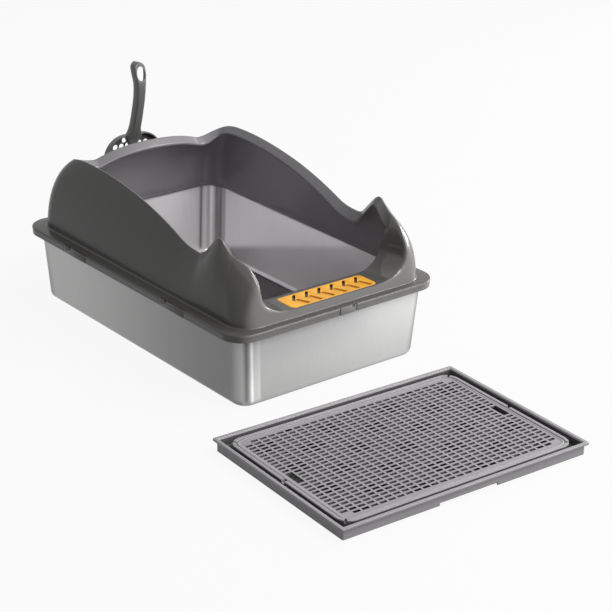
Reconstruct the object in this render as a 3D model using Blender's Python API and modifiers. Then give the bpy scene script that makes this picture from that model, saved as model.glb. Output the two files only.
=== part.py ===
"""Open-top litter box: steel pan, plastic shield with clips, tread, scoop on its holder, drain tray.

Metres, +Z up, front towards -Y. The origin is the centre of the pan's flat underside.
"""
import math

import bmesh
import bpy
from mathutils import Matrix, Vector

# Clearances and shared finish sizes
SEAT_GAP = 0.0003
CUT_OVERRUN = 0.004
CORNER_STEPS = 6
FILLET_STEPS = 4

# Steel pan
PAN_HEIGHT = 0.128
PAN_END_INSET = 0.0205
PAN_SIDE_INSET = 0.0265
PAN_FOOT_CORNER = 0.024
PAN_TOP_CORNER = 0.032
PAN_DRAFT = 0.082
PAN_FOOT_FILLET = 0.009
PAN_SHEET = 0.001
RIM_LIP = 0.0035
RIM_FILLET = 0.002

# Shield, the plastic upper
BOX_LENGTH = 0.604
BOX_WIDTH = 0.404
FLANGE_CORNER = 0.038
SKIRT_DROP = 0.0125
SHIELD_WALL = 0.0025
SHIELD_EDGE = 0.002
RIM_GAP = 0.001
SIDE_LEDGE = 0.0195
FRONT_LEDGE = 0.014
BACK_LEDGE = 0.019
WALL_BASE_CORNER = 0.036
WALL_FILLET = 0.0025
CREST_RISE = 0.137
CREST_ROUND = 0.0025
LIP_WIDTH = 0.012
LIP_FALL = 0.0105
LIP_TIP = 0.003
SILL_FLOOR = 0.003
SILL_ROUND = 0.003
SILL_EDGE_DROP = 0.009

# Tread on the sill
TREAD_WIDTH = 0.167
TREAD_DEPTH = 0.0435
TREAD_CORNER = 0.007
TREAD_THICKNESS = 0.003
TREAD_GAP = 0.0004
TREAD_PROUD = 0.0004
TREAD_FRONT_MARGIN = 0.0035
TREAD_BACK_MARGIN = 0.0085
TREAD_SHIFT = 0.0015
CHEVRON_PITCH = 0.0246
CHEVRON_MARGIN = 0.0030
CHEVRON_LEAN = 0.0150
CHEVRON_SHIFT = 0.0037
SLOT_WIDTH = 0.0046
GROOVE_WIDTH = 0.0024
GROOVE_DEPTH = 0.0012
CHEVRON_WEB = 0.0010

# Snap clips in the skirt
SHORT_CLIP = 0.032
LONG_CLIP = 0.064
CLIP_GAP = 0.0005
CLIP_AXIS_DROP = 0.0015
CLIP_BARB_HEIGHT = 0.004
CLIP_SLOT = 0.005
CLIP_SLOT_DEPTH = 0.002
FRONT_CLIP_OFFSET = 0.0125
BACK_CLIP_OFFSET = -0.070
SIDE_CLIP_BACK = 0.141
SIDE_CLIP_FRONT = -0.135

# Scoop and the holder behind the box
SCOOP_X = 0.033
BASKET_WIDTH = 0.112
BASKET_HEIGHT = 0.129
BASKET_SHOULDER = 0.040
BASKET_WALL = 0.0022
BASKET_TOP_DEPTH = 0.022
BASKET_TOE_DEPTH = 0.005
BASKET_FILLET = 0.004
SIFT_HOLE = 0.0095
SIFT_WEB = 0.0030
SIFT_MARGIN = 0.007
HANDLE_WIDTH = 0.026
HANDLE_THICKNESS = 0.013
HANDLE_LENGTH = 0.145
HANDLE_ROOT = 0.009
HANDLE_BOW = 0.038
HANDLE_SIDES = 12
SIFT_HOLE_SIDES = 6
HANG_HOLE_SIDES = 20
HANG_HOLE_LENGTH = 0.026
HANG_HOLE_WIDTH = 0.019
HANG_HOLE_SHARE = 0.87
HOLDER_WALL = 0.002
HOLDER_DEPTH = 0.030
HOLDER_HEIGHT = 0.052
HOLDER_FOOT_DROP = 0.023
HOLDER_CORNER = 0.006
HOLDER_SIDE_GAP = 0.0015
HOOK_WIDTH = 0.050
HOOK_REACH = 0.010

# Drain tray on the floor in front
TRAY_LENGTH = 0.444
TRAY_WIDTH = 0.312
TRAY_HEIGHT = 0.020
TRAY_X = -0.0725
TRAY_STANDOFF = 0.056
TRAY_TURN_DEGREES = -3.05
TRAY_FLOOR = 0.0035
TRAY_UNDERSIDE = 0.002
TRAY_WALL = 0.0025
TRAY_RIM = 0.006
TRAY_RIM_THICKNESS = 0.0035
TRAY_RIM_OVERHANG = 0.0045
TRAY_CORNER = 0.002
TRAY_CHANNEL = 0.0075
RING_HEIGHT = 0.0175
RING_WIDTH = 0.006
RING_SHELF = 0.007
RING_CORNER = 0.022
RING_GAP = 0.030
SHELF_HEIGHT = 0.0130
NOTCH_LENGTH = 0.105
NOTCH_HEIGHT = 0.005
EDGE_ROUND = 0.001

# Grate in the drain tray
GRATE_THICKNESS = 0.003
GRATE_GAP = 0.0008
GRATE_COLUMNS = 13
GRATE_ROWS = 11
GRATE_BORDER_LONG = 0.022
GRATE_BORDER_SHORT = 0.020
GRATE_BAR_X = 0.0065
GRATE_BAR_Y = 0.0090
FINGER_SLOT_LENGTH = 0.031
FINGER_SLOT_WIDTH = 0.0105

# The crest, the shield's top outer edge, from the front centre to the back centre.
# Each row: place on the base rail, then x, y and height as shares of the half
# width, the half length and the crest's rise.
CREST_SHARES = (
    (0.000, 0.000, -0.952, 0.100),
    (0.350, 0.240, -0.952, 0.100),
    (0.640, 0.416, -0.952, 0.101),
    (0.800, 0.506, -0.952, 0.112),
    (0.930, 0.570, -0.952, 0.142),
    (1.060, 0.634, -0.951, 0.200),
    (1.190, 0.681, -0.950, 0.283),
    (1.310, 0.699, -0.948, 0.375),
    (1.420, 0.703, -0.942, 0.452),
    (1.510, 0.706, -0.926, 0.524),
    (1.600, 0.712, -0.900, 0.592),
    (1.700, 0.724, -0.864, 0.655),
    (1.800, 0.742, -0.817, 0.700),
    (1.900, 0.759, -0.783, 0.715),
    (1.990, 0.770, -0.747, 0.736),
    (2.040, 0.775, -0.709, 0.802),
    (2.070, 0.777, -0.682, 0.855),
    (2.090, 0.777, -0.660, 0.864),
    (2.120, 0.777, -0.630, 0.826),
    (2.160, 0.777, -0.576, 0.705),
    (2.200, 0.777, -0.524, 0.594),
    (2.250, 0.777, -0.465, 0.580),
    (2.320, 0.777, -0.372, 0.607),
    (2.400, 0.777, -0.263, 0.696),
    (2.490, 0.777, -0.139, 0.785),
    (2.590, 0.777, 0.005, 0.868),
    (2.700, 0.777, 0.159, 0.930),
    (2.810, 0.777, 0.318, 0.974),
    (2.910, 0.777, 0.467, 0.994),
    (3.010, 0.777, 0.596, 0.990),
    (3.200, 0.770, 0.677, 0.960),
    (3.450, 0.737, 0.721, 0.920),
    (3.750, 0.661, 0.735, 0.884),
    (4.000, 0.579, 0.735, 0.856),
    (4.120, 0.515, 0.735, 0.850),
    (4.240, 0.450, 0.735, 0.876),
    (4.450, 0.337, 0.735, 0.917),
    (4.720, 0.178, 0.735, 0.946),
    (5.000, 0.000, 0.735, 0.957),
)

# The inner edge of the lip that turns in from the crest. Each row: place on the
# base rail, then how far in and how far down, as shares of the lip's width and fall.
LIP_SHARES = (
    (0.00, 0.00, 0.00),
    (0.40, 0.00, 0.00),
    (0.80, 0.25, 0.05),
    (1.06, 0.60, 0.10),
    (1.20, 0.65, 0.12),
    (1.31, 0.56, 0.20),
    (1.42, 0.50, 0.50),
    (1.51, 0.38, 0.90),
    (1.60, 0.28, 1.22),
    (1.70, 0.27, 1.57),
    (1.80, 0.44, 1.87),
    (1.90, 0.68, 1.98),
    (1.99, 0.88, 1.77),
    (2.08, 1.00, 1.20),
    (2.16, 1.00, 1.43),
    (2.25, 1.00, 1.52),
    (2.50, 1.00, 1.15),
    (2.80, 1.00, 1.00),
    (5.00, 1.00, 1.00),
)

# Where along the wall's height its outer and inner outline points lie
WALL_SHARES = (0.0, 0.18, 0.38, 0.58, 0.76, 0.90)
INNER_WALL_SHARES = (0.86, 0.68, 0.46, 0.22)

# How far the wall bows out of a straight slope at the pillars, sides and back,
# and how high its upright lower stretch would reach
PILLAR_BOW_SHARE = 0.85
SIDE_BOW_SHARE = 0.30
BACK_BOW_SHARE = 0.85
UPRIGHT_SHARE = 0.75

# Places on the base rail between which the sill, the pillars and the back take over
SILL_TO_PILLAR_SHARES = (1.45, 1.95)
SILL_TO_BOW_SHARES = (0.90, 1.35)
PILLAR_TO_SIDE_SHARES = (1.95, 2.40)
SIDE_TO_BACK_SHARES = (2.45, 3.05)

# Points on a quarter round, and where the shield's inner wall starts and ends
ROUND_SHARE = 0.29
INNER_TOP_SHARE = 1.3
INNER_FOOT_RISE_SHARE = 0.7
INNER_FOOT_REACH_SHARE = 0.6

# The scoop handle's centre line and section. Each row: height, then how far
# towards the box, width and thickness, as shares of the handle's own sizes.
HANDLE_SHARES = (
    (0.00, 0.12, 2.10, 1.00),
    (0.06, 0.24, 1.45, 1.00),
    (0.13, 0.38, 1.02, 1.00),
    (0.36, 0.66, 0.96, 1.00),
    (0.58, 0.87, 0.96, 0.95),
    (0.74, 0.96, 1.04, 0.75),
    (0.85, 0.92, 1.20, 0.56),
    (0.92, 0.86, 1.18, 0.56),
    (0.97, 0.80, 0.98, 0.54),
    (1.00, 0.76, 0.60, 0.40),
)

# Sizes that follow from the ones above
HALF_LENGTH = BOX_LENGTH / 2
HALF_WIDTH = BOX_WIDTH / 2
FLANGE_TOP = PAN_HEIGHT + SEAT_GAP + SHIELD_WALL
FLANGE_UNDERSIDE = PAN_HEIGHT + SEAT_GAP
SKIRT_BOTTOM = FLANGE_TOP - SKIRT_DROP
RIM_INSET = SHIELD_WALL + RIM_GAP
SILL_TOP = FLANGE_TOP + CREST_SHARES[0][3] * CREST_RISE
SILL_FRONT = CREST_SHARES[0][2] * HALF_LENGTH
SILL_BACK = SILL_FRONT + TREAD_FRONT_MARGIN + TREAD_DEPTH + TREAD_BACK_MARGIN
SILL_SKIN = TREAD_THICKNESS + SILL_FLOOR
SCOOP_TOE = FLANGE_TOP - HOLDER_FOOT_DROP + HOLDER_WALL + SEAT_GAP
HOLDER_BACK = HALF_LENGTH + SEAT_GAP

COLLECTION_NAME = "open_top_litter_box"


def clear_scene():
    for old in list(bpy.data.objects):
        bpy.data.objects.remove(old, do_unlink=True)


def make_collection(name):
    collection = bpy.data.collections.new(name)
    bpy.context.scene.collection.children.link(collection)
    return collection


def make_material(name, colour, roughness, metallic=0.0):
    material = bpy.data.materials.new(name)
    material.use_nodes = True
    shader = material.node_tree.nodes["Principled BSDF"]
    shader.inputs["Base Color"].default_value = (*colour, 1.0)
    shader.inputs["Roughness"].default_value = roughness
    shader.inputs["Metallic"].default_value = metallic
    material.diffuse_color = (*colour, 1.0)
    return material


def add_object(name, mesh, collection, material=None):
    piece = bpy.data.objects.new(name, mesh)
    collection.objects.link(piece)
    if material:
        mesh.materials.append(material)
    return piece


def smooth(mesh, angle=35.0):
    mesh.shade_smooth()
    mesh.set_sharp_from_angle(angle=math.radians(angle))


def lerp(a, b, share):
    return a + (b - a) * share


def ease(low, high, value):
    share = min(max((value - low) / (high - low), 0.0), 1.0)
    return share * share * (3.0 - 2.0 * share)


def rounded_rectangle(half_x, half_y, radius, z=0.0, steps=CORNER_STEPS):
    """Corner points of a rounded rectangle, counter-clockwise seen from above."""
    points = []
    centres = ((1, 1, 0), (-1, 1, 90), (-1, -1, 180), (1, -1, 270))
    for side_x, side_y, start in centres:
        for step in range(steps + 1):
            angle = math.radians(start + 90 * step / steps)
            x = side_x * (half_x - radius) + radius * math.cos(angle)
            y = side_y * (half_y - radius) + radius * math.sin(angle)
            points.append(Vector((x, y, z)))
    return points


def loft(name, rings, cap_first=True, cap_last=True, closed=True):
    """A skin through rings of equal point counts, facing out when the rings run
    counter-clockwise and climb towards the viewer of their outer side."""
    shape = bmesh.new()
    rows = [[shape.verts.new(point) for point in ring] for ring in rings]
    count = len(rows[0])
    spans = count if closed else count - 1
    for lower, upper in zip(rows, rows[1:]):
        for k in range(spans):
            n = (k + 1) % count
            shape.faces.new((lower[k], lower[n], upper[n], upper[k]))
    if cap_first:
        shape.faces.new(list(reversed(rows[0])))
    if cap_last:
        shape.faces.new(rows[-1])
    mesh = bpy.data.meshes.new(name)
    shape.to_mesh(mesh)
    shape.free()
    return mesh


def add_modifier(piece, kind, **settings):
    modifier = piece.modifiers.new(kind.title(), kind)
    for key, value in settings.items():
        setattr(modifier, key, value)
    return modifier


def cut(piece, cutter, operation="DIFFERENCE"):
    add_modifier(piece, "BOOLEAN", operation=operation, object=cutter, solver="EXACT")


def make_cutter(name, mesh, collection):
    cutter = add_object(name, mesh, collection)
    cutter.hide_render = True
    cutter.display_type = "WIRE"
    return cutter


def box_mesh(name, boxes):
    """Separate boxes in one mesh, each given by its low and high corner."""
    shape = bmesh.new()
    for low, high in boxes:
        middle = (Vector(low) + Vector(high)) / 2
        size = Vector(high) - Vector(low)
        made = bmesh.ops.create_cube(shape, size=1.0)
        bmesh.ops.scale(shape, vec=size, verts=made["verts"])
        bmesh.ops.translate(shape, vec=middle, verts=made["verts"])
    mesh = bpy.data.meshes.new(name)
    shape.to_mesh(mesh)
    shape.free()
    return mesh


def plate_mesh(name, outlines, thickness):
    """A flat plate, its first outline the edge and the rest its holes, base at z = 0."""
    curve = bpy.data.curves.new(name, "CURVE")
    curve.dimensions = "2D"
    curve.fill_mode = "BOTH"
    curve.extrude = thickness / 2
    for outline in outlines:
        spline = curve.splines.new("POLY")
        spline.points.add(len(outline) - 1)
        for point, place in zip(spline.points, outline):
            point.co = (place[0], place[1], 0.0, 1.0)
        spline.use_cyclic_u = True
    holder = bpy.data.objects.new(name, curve)
    bpy.context.scene.collection.objects.link(holder)
    graph = bpy.context.evaluated_depsgraph_get()
    mesh = bpy.data.meshes.new_from_object(holder.evaluated_get(graph))
    bpy.data.objects.remove(holder, do_unlink=True)
    shape = bmesh.new()
    shape.from_mesh(mesh)
    bmesh.ops.remove_doubles(shape, verts=shape.verts, dist=SEAT_GAP / 10)
    bmesh.ops.translate(shape, vec=(0.0, 0.0, thickness / 2), verts=shape.verts)
    shape.to_mesh(mesh)
    shape.free()
    return mesh


# The steel pan: one pressed sheet with a rolled rim
def pan_half(z):
    """Half length and half width of the pan's outer wall at a height."""
    spread = PAN_DRAFT * z
    return HALF_WIDTH - PAN_SIDE_INSET + spread, HALF_LENGTH - PAN_END_INSET + spread


def make_pan(collection):
    steel = make_material("brushed_steel", (0.60, 0.59, 0.58), 0.32, 1.0)
    under_rim = PAN_HEIGHT - PAN_SHEET
    rings = []
    for step in range(FILLET_STEPS + 1):
        angle = math.radians(90 * step / FILLET_STEPS)
        inset = PAN_FOOT_FILLET * (1 - math.sin(angle))
        z = PAN_FOOT_FILLET * (1 - math.cos(angle))
        half_x, half_y = pan_half(z)
        rings.append(rounded_rectangle(half_x - inset, half_y - inset, PAN_FOOT_CORNER - inset, z))
    wall_top = under_rim - RIM_FILLET
    half_x, half_y = pan_half(wall_top)
    rings.append(rounded_rectangle(half_x, half_y, PAN_TOP_CORNER, wall_top))
    rings.append(rounded_rectangle(half_x + RIM_FILLET, half_y + RIM_FILLET,
                                   PAN_TOP_CORNER + RIM_FILLET, under_rim))
    rim_x = HALF_WIDTH - RIM_INSET
    rim_y = HALF_LENGTH - RIM_INSET
    rim_corner = FLANGE_CORNER - RIM_INSET
    for inset, z in ((PAN_SHEET + SHIELD_EDGE / 2, under_rim), (PAN_SHEET, under_rim - SHIELD_EDGE / 2),
                     (PAN_SHEET, under_rim - RIM_LIP)):
        rings.append(rounded_rectangle(rim_x - inset, rim_y - inset, rim_corner - inset, z))
    mesh = loft("steel_pan", rings, cap_first=True, cap_last=False)
    pan = add_object("steel_pan", mesh, collection, steel)
    add_modifier(pan, "SOLIDIFY", thickness=PAN_SHEET, offset=-1.0, use_even_offset=True)
    smooth(mesh)
    return pan


# The shield: a lofted skin round the box, with its lip turned in and its skirt down
def rail(half_x, front, back, corner, place):
    """A point and its outward direction on a rounded rectangle's +X half. Whole
    places are the front centre, the ends of the two corners and the back centre."""
    if place <= 1.0:
        return Vector((place * (half_x - corner), -front, 0.0)), Vector((0.0, -1.0, 0.0))
    if place <= 2.0:
        angle = math.radians(90 * (place - 2.0))
        outward = Vector((math.cos(angle), math.sin(angle), 0.0))
        return Vector((half_x - corner, corner - front, 0.0)) + outward * corner, outward
    if place <= 3.0:
        y = lerp(corner - front, back - corner, place - 2.0)
        return Vector((half_x, y, 0.0)), Vector((1.0, 0.0, 0.0))
    if place <= 4.0:
        angle = math.radians(90 * (place - 3.0))
        outward = Vector((math.cos(angle), math.sin(angle), 0.0))
        return Vector((half_x - corner, back - corner, 0.0)) + outward * corner, outward
    return Vector(((5.0 - place) * (half_x - corner), back, 0.0)), Vector((0.0, 1.0, 0.0))


def crest_point(x, y, z):
    return Vector((x * HALF_WIDTH, y * HALF_LENGTH, FLANGE_TOP + z * CREST_RISE))


def lip_edge(place, crest, out):
    """The lip's inner edge: across the sill to one line, elsewhere a set step in and down."""
    for start, end in zip(LIP_SHARES, LIP_SHARES[1:]):
        if place <= end[0]:
            share = (place - start[0]) / (end[0] - start[0])
            into = lerp(start[1], end[1], share)
            fall = lerp(start[2], end[2], share)
            break
    edge = crest - Vector((0.0, 0.0, LIP_FALL * fall))
    if place < 2.0:
        edge.x -= LIP_WIDTH * into
        edge.y = max(crest.y, SILL_BACK)
        return edge
    return edge - out * LIP_WIDTH * into


def at_height(point, z):
    return Vector((point.x, point.y, z))


def shield_section(place, crest):
    """The closed outline of the shield's wall at one place round the box."""
    flange, out = rail(HALF_WIDTH, HALF_LENGTH, HALF_LENGTH, FLANGE_CORNER, place)
    base, _ = rail(HALF_WIDTH - SIDE_LEDGE, HALF_LENGTH - FRONT_LEDGE, HALF_LENGTH - BACK_LEDGE,
                   WALL_BASE_CORNER, place)
    deep = 1.0 - ease(*SILL_TO_PILLAR_SHARES, place)
    skin = lerp(SHIELD_WALL, SILL_SKIN, deep)
    tip = lerp(LIP_TIP, SILL_EDGE_DROP, deep)
    lip = lip_edge(place, crest, out)
    inward = (lip - crest) * Vector((1.0, 1.0, 0.0))
    inward = inward.normalized()

    bow = lerp(SIDE_BOW_SHARE, BACK_BOW_SHARE, ease(*SIDE_TO_BACK_SHARES, place))
    bow = lerp(bow, PILLAR_BOW_SHARE, 1.0 - ease(*PILLAR_TO_SIDE_SHARES, place))
    bow = bow * ease(*SILL_TO_BOW_SHARES, place)
    foot = at_height(base, FLANGE_TOP + WALL_FILLET)
    upright = at_height(base, lerp(foot.z, crest.z, UPRIGHT_SHARE))
    pull = ((foot + crest) / 2).lerp(upright, bow)

    def wall(share):
        return foot.lerp(pull, share).lerp(pull.lerp(crest, share), share)

    outer_wall = [wall(share) for share in WALL_SHARES]
    up = (crest - outer_wall[-1]).normalized()
    over = (lip - crest).normalized()
    edge = min(lerp(CREST_ROUND, SILL_ROUND, deep), (crest - outer_wall[-1]).length)
    crest_edge = [crest - up * edge, crest + (over - up) * edge * ROUND_SHARE, crest + over * edge]

    lift = Vector((0.0, 0.0, 1.0))
    spread = max(math.sin(over.angle(-up)), 0.5)
    under_crest = crest + (over * SHIELD_WALL - up * skin) / spread
    drop = (crest.z - under_crest.z) / (crest.z - foot.z)
    inner_top = max(1.0 - INNER_TOP_SHARE * drop, 0.1)

    section = [at_height(flange, SKIRT_BOTTOM),
               at_height(flange, FLANGE_TOP - SHIELD_EDGE),
               at_height(flange - out * SHIELD_EDGE, FLANGE_TOP),
               at_height(base + out * WALL_FILLET, FLANGE_TOP)]
    section += outer_wall + crest_edge
    section += [crest.lerp(lip, 0.5),
                lip - over * SHIELD_WALL / 2,
                lip - lift * SHIELD_WALL / 2,
                lip - lift * tip,
                lip - inward * SHIELD_WALL - lift * tip,
                lip - inward * SHIELD_WALL - lift * skin,
                under_crest]
    section += [wall(share * inner_top) - out * SHIELD_WALL for share in INNER_WALL_SHARES]
    section += [at_height(base - out * SHIELD_WALL, FLANGE_TOP + SHIELD_WALL * INNER_FOOT_RISE_SHARE),
                at_height(base + out * SHIELD_WALL * INNER_FOOT_REACH_SHARE, FLANGE_UNDERSIDE),
                at_height(flange - out * SHIELD_WALL, FLANGE_UNDERSIDE),
                at_height(flange - out * SHIELD_WALL, SKIRT_BOTTOM)]
    return section


def clip_places():
    """Each clip's name, width, centre on the skirt, outward turn and its slot's side."""
    return (
        ("front_clip", SHORT_CLIP, Vector((FRONT_CLIP_OFFSET, -HALF_LENGTH, 0.0)), 0, 1),
        ("back_clip", SHORT_CLIP, Vector((BACK_CLIP_OFFSET, HALF_LENGTH, 0.0)), 180, 1),
        ("left_front_clip", LONG_CLIP, Vector((-HALF_WIDTH, SIDE_CLIP_FRONT, 0.0)), -90, -1),
        ("left_back_clip", LONG_CLIP, Vector((-HALF_WIDTH, SIDE_CLIP_BACK, 0.0)), -90, -1),
        ("right_front_clip", LONG_CLIP, Vector((HALF_WIDTH, SIDE_CLIP_FRONT, 0.0)), 90, 1),
        ("right_back_clip", LONG_CLIP, Vector((HALF_WIDTH, SIDE_CLIP_BACK, 0.0)), 90, 1),
    )


def clip_notch_boxes():
    """Slots through the skirt and the flange's edge, one for each clip."""
    boxes = []
    for _, width, centre, turn, _ in clip_places():
        angle = math.radians(turn)
        outward = Vector((math.sin(angle), -math.cos(angle), 0.0))
        along = Vector((math.cos(angle), math.sin(angle), 0.0)) * (width / 2 + CLIP_GAP)
        one = centre + outward * CUT_OVERRUN - along
        other = centre - outward * (SHIELD_WALL + CLIP_GAP) + along
        low = Vector((min(one.x, other.x), min(one.y, other.y), SKIRT_BOTTOM - CUT_OVERRUN))
        high = Vector((max(one.x, other.x), max(one.y, other.y), FLANGE_TOP + CUT_OVERRUN))
        boxes.append((low, high))
    return boxes


def tread_centre():
    y = SILL_FRONT + TREAD_FRONT_MARGIN + TREAD_DEPTH / 2
    return Vector((TREAD_SHIFT, y, SILL_TOP + TREAD_PROUD - TREAD_THICKNESS))


def make_shield(collection, cutters):
    plastic = make_material("charcoal_plastic", (0.075, 0.073, 0.072), 0.45)
    sections = [shield_section(place, crest_point(*shares)) for place, *shares in CREST_SHARES]
    mesh = loft("shield", sections, cap_first=False, cap_last=False)
    shield = add_object("shield", mesh, collection, plastic)
    add_modifier(shield, "MIRROR", use_axis=(True, False, False), use_clip=True,
                 merge_threshold=SEAT_GAP / 10)
    notches = make_cutter("clip_notches", box_mesh("clip_notches", clip_notch_boxes()), cutters)
    rings = [rounded_rectangle(TREAD_WIDTH / 2 + TREAD_GAP, TREAD_DEPTH / 2 + TREAD_GAP,
                               TREAD_CORNER + TREAD_GAP, z) for z in (-SEAT_GAP, TREAD_DEPTH)]
    pocket = make_cutter("tread_pocket", loft("tread_pocket", rings), cutters)
    pocket.location = tread_centre()
    cut(shield, notches)
    cut(shield, pocket)
    smooth(mesh)
    return shield


# The tread: a plate with a row of chevrons, each a through slot and a shallow groove
def chevron_bars():
    """Slot and groove end points of each chevron, in the tread's own plane."""
    arm = TREAD_DEPTH / 2 - CHEVRON_MARGIN
    room = TREAD_WIDTH - 2 * TREAD_CORNER - CHEVRON_LEAN
    count = int(room / CHEVRON_PITCH) + 1
    clear = SLOT_WIDTH / 2 + CHEVRON_WEB + GROOVE_WIDTH / 2
    slots, grooves = [], []
    for k in range(count):
        x = (k - (count - 1) / 2) * CHEVRON_PITCH + CHEVRON_SHIFT
        top = Vector((x + CHEVRON_LEAN / 2, arm))
        tip = Vector((x - CHEVRON_LEAN / 2, 0.0))
        slots.append((top, tip))
        across = (top - tip).orthogonal().normalized()
        start = tip - across * clear if across.x < 0 else tip + across * clear
        grooves.append((start, Vector((start.x + CHEVRON_LEAN / 2, -arm))))
    return slots, grooves


def add_bar(shape, start, end, width, low, high):
    """A closed bar with square ends between two points of a plane."""
    along = end - start
    middle = (start + end) / 2
    made = bmesh.ops.create_cube(shape, size=1.0)
    bmesh.ops.scale(shape, vec=(along.length, width, high - low), verts=made["verts"])
    turn = Matrix.Rotation(math.atan2(along.y, along.x), 3, "Z")
    bmesh.ops.rotate(shape, cent=(0.0, 0.0, 0.0), matrix=turn, verts=made["verts"])
    bmesh.ops.translate(shape, vec=(middle.x, middle.y, (low + high) / 2), verts=made["verts"])


def make_tread(collection, cutters):
    amber = make_material("amber_plastic", (0.85, 0.42, 0.05), 0.40)
    rings = [rounded_rectangle(TREAD_WIDTH / 2, TREAD_DEPTH / 2, TREAD_CORNER, z)
             for z in (0.0, TREAD_THICKNESS)]
    mesh = loft("tread_insert", rings)
    tread = add_object("tread_insert", mesh, collection, amber)
    tread.location = tread_centre()
    slots, grooves = chevron_bars()
    shape = bmesh.new()
    for start, end in slots:
        add_bar(shape, start, end, SLOT_WIDTH, -CUT_OVERRUN, TREAD_THICKNESS + CUT_OVERRUN)
    for start, end in grooves:
        add_bar(shape, start, end, GROOVE_WIDTH, TREAD_THICKNESS - GROOVE_DEPTH,
                TREAD_THICKNESS + CUT_OVERRUN)
    bars = bpy.data.meshes.new("tread_bars")
    shape.to_mesh(bars)
    shape.free()
    cutter = make_cutter("tread_bars", bars, cutters)
    cutter.location = tread.location
    cut(tread, cutter)
    return tread


# The snap clips: flexing tabs, each with its origin on the hinge line at its top
def clip_mesh(name, width, slot_side):
    """Outline sections along the clip, x along the skirt and -y outwards."""
    axis = FLANGE_TOP - CLIP_AXIS_DROP
    top = CLIP_AXIS_DROP - SEAT_GAP
    bottom = SKIRT_BOTTOM - axis
    outer = -SHIELD_WALL / 2
    inner = SHIELD_WALL / 2
    barb = inner + RIM_GAP - SEAT_GAP
    rise = CLIP_BARB_HEIGHT / 4

    def section(x, crown):
        return [Vector((x, outer, bottom)), Vector((x, inner, bottom)),
                Vector((x, barb, bottom + rise)), Vector((x, barb, bottom + 2 * rise)),
                Vector((x, inner, bottom + 3 * rise)), Vector((x, inner, crown)),
                Vector((x, outer + SHIELD_EDGE / 2, crown)),
                Vector((x, outer, crown - SHIELD_EDGE / 2))]

    half = width / 2
    slot = slot_side * width / 4
    dip = top - CLIP_SLOT_DEPTH
    sections = [section(-half, top), section(slot - CLIP_SLOT / 2, top),
                section(slot - CLIP_SLOT / 2, dip), section(slot + CLIP_SLOT / 2, dip),
                section(slot + CLIP_SLOT / 2, top), section(half, top)]
    return loft(name, sections)


def make_clips(collection):
    plastic = make_material("clip_plastic", (0.085, 0.083, 0.081), 0.42)
    for name, width, centre, turn, slot_side in clip_places():
        clip = add_object(name, clip_mesh(name, width, slot_side), collection, plastic)
        angle = math.radians(turn)
        outward = Vector((math.sin(angle), -math.cos(angle), 0.0))
        hinge = Vector((0.0, 0.0, FLANGE_TOP - CLIP_AXIS_DROP))
        clip.location = centre - outward * SHIELD_WALL / 2 + hinge
        clip.rotation_euler = (0.0, 0.0, angle)


# The scoop: a sifting basket with rounded shoulders on a bowed handle
def basket_outline(inset, depth_share):
    """Basket edge from the toe's left end round the shoulders to its right end."""
    half = BASKET_WIDTH / 2 - inset
    top = BASKET_HEIGHT - inset
    radius = BASKET_SHOULDER - inset
    places = [(-half, 0.0), (-half, (top - radius) / 2)]
    for start, side in ((180, -1), (90, 1)):
        for step in range(CORNER_STEPS + 1):
            angle = math.radians(start - 90 * step / CORNER_STEPS)
            places.append((side * (half - radius) + radius * math.cos(angle),
                           top - radius + radius * math.sin(angle)))
    places += [(half, (top - radius) / 2), (half, 0.0)]
    return [Vector((x, -depth_share * lerp(BASKET_TOE_DEPTH, BASKET_TOP_DEPTH, z / BASKET_HEIGHT), z))
            for x, z in places]


def sift_holes():
    """Centres of the honeycomb of holes in the basket's floor."""
    pitch = SIFT_HOLE + SIFT_WEB
    row_pitch = pitch * math.sqrt(3) / 2
    reach_x = BASKET_WIDTH / 2 - SIFT_MARGIN
    low, high = SIFT_MARGIN, BASKET_HEIGHT - SIFT_MARGIN
    centres = []
    for row in range(int((high - low) / row_pitch) + 1):
        z = low + SIFT_HOLE / 2 + row * row_pitch
        shift = pitch / 2 if row % 2 else 0.0
        across = int(reach_x / pitch) + 1
        for column in range(-across, across + 1):
            x = column * pitch + shift
            corner_x = max(abs(x) - (BASKET_WIDTH / 2 - BASKET_SHOULDER), 0.0)
            corner_z = max(z - (BASKET_HEIGHT - BASKET_SHOULDER), 0.0)
            reach = math.hypot(corner_x, corner_z) + SIFT_HOLE / 2
            if abs(x) + SIFT_HOLE / 2 <= reach_x and z + SIFT_HOLE / 2 <= high:
                if reach <= BASKET_SHOULDER - SIFT_MARGIN + BASKET_FILLET or corner_x * corner_z == 0.0:
                    centres.append((x, z))
    return centres


def handle_rings():
    """Rounded sections up the handle, bowed towards the box and curled back at the top."""
    start = BASKET_HEIGHT - HANDLE_ROOT
    rings = []
    for up, bow, width, thickness in HANDLE_SHARES:
        ring = []
        for step in range(HANDLE_SIDES):
            angle = 2 * math.pi * step / HANDLE_SIDES
            ring.append(Vector((math.cos(angle) * width * HANDLE_WIDTH / 2,
                                math.sin(angle) * thickness * HANDLE_THICKNESS / 2 - bow * HANDLE_BOW,
                                start + up * HANDLE_LENGTH)))
        rings.append(ring)
    return rings


def facing_prisms(name, centres, width, height, depth, sides):
    """Prisms that lie along y, one at each centre, as one mesh."""
    shape = bmesh.new()
    lay_down = Matrix.Rotation(math.radians(90), 3, "X")
    for centre in centres:
        made = bmesh.ops.create_cone(shape, cap_ends=True, segments=sides,
                                     radius1=0.5, radius2=0.5, depth=1.0)
        bmesh.ops.rotate(shape, cent=(0.0, 0.0, 0.0), matrix=lay_down, verts=made["verts"])
        bmesh.ops.scale(shape, vec=(width, depth, height), verts=made["verts"])
        bmesh.ops.translate(shape, vec=centre, verts=made["verts"])
    mesh = bpy.data.meshes.new(name)
    shape.to_mesh(mesh)
    shape.free()
    return mesh


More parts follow.
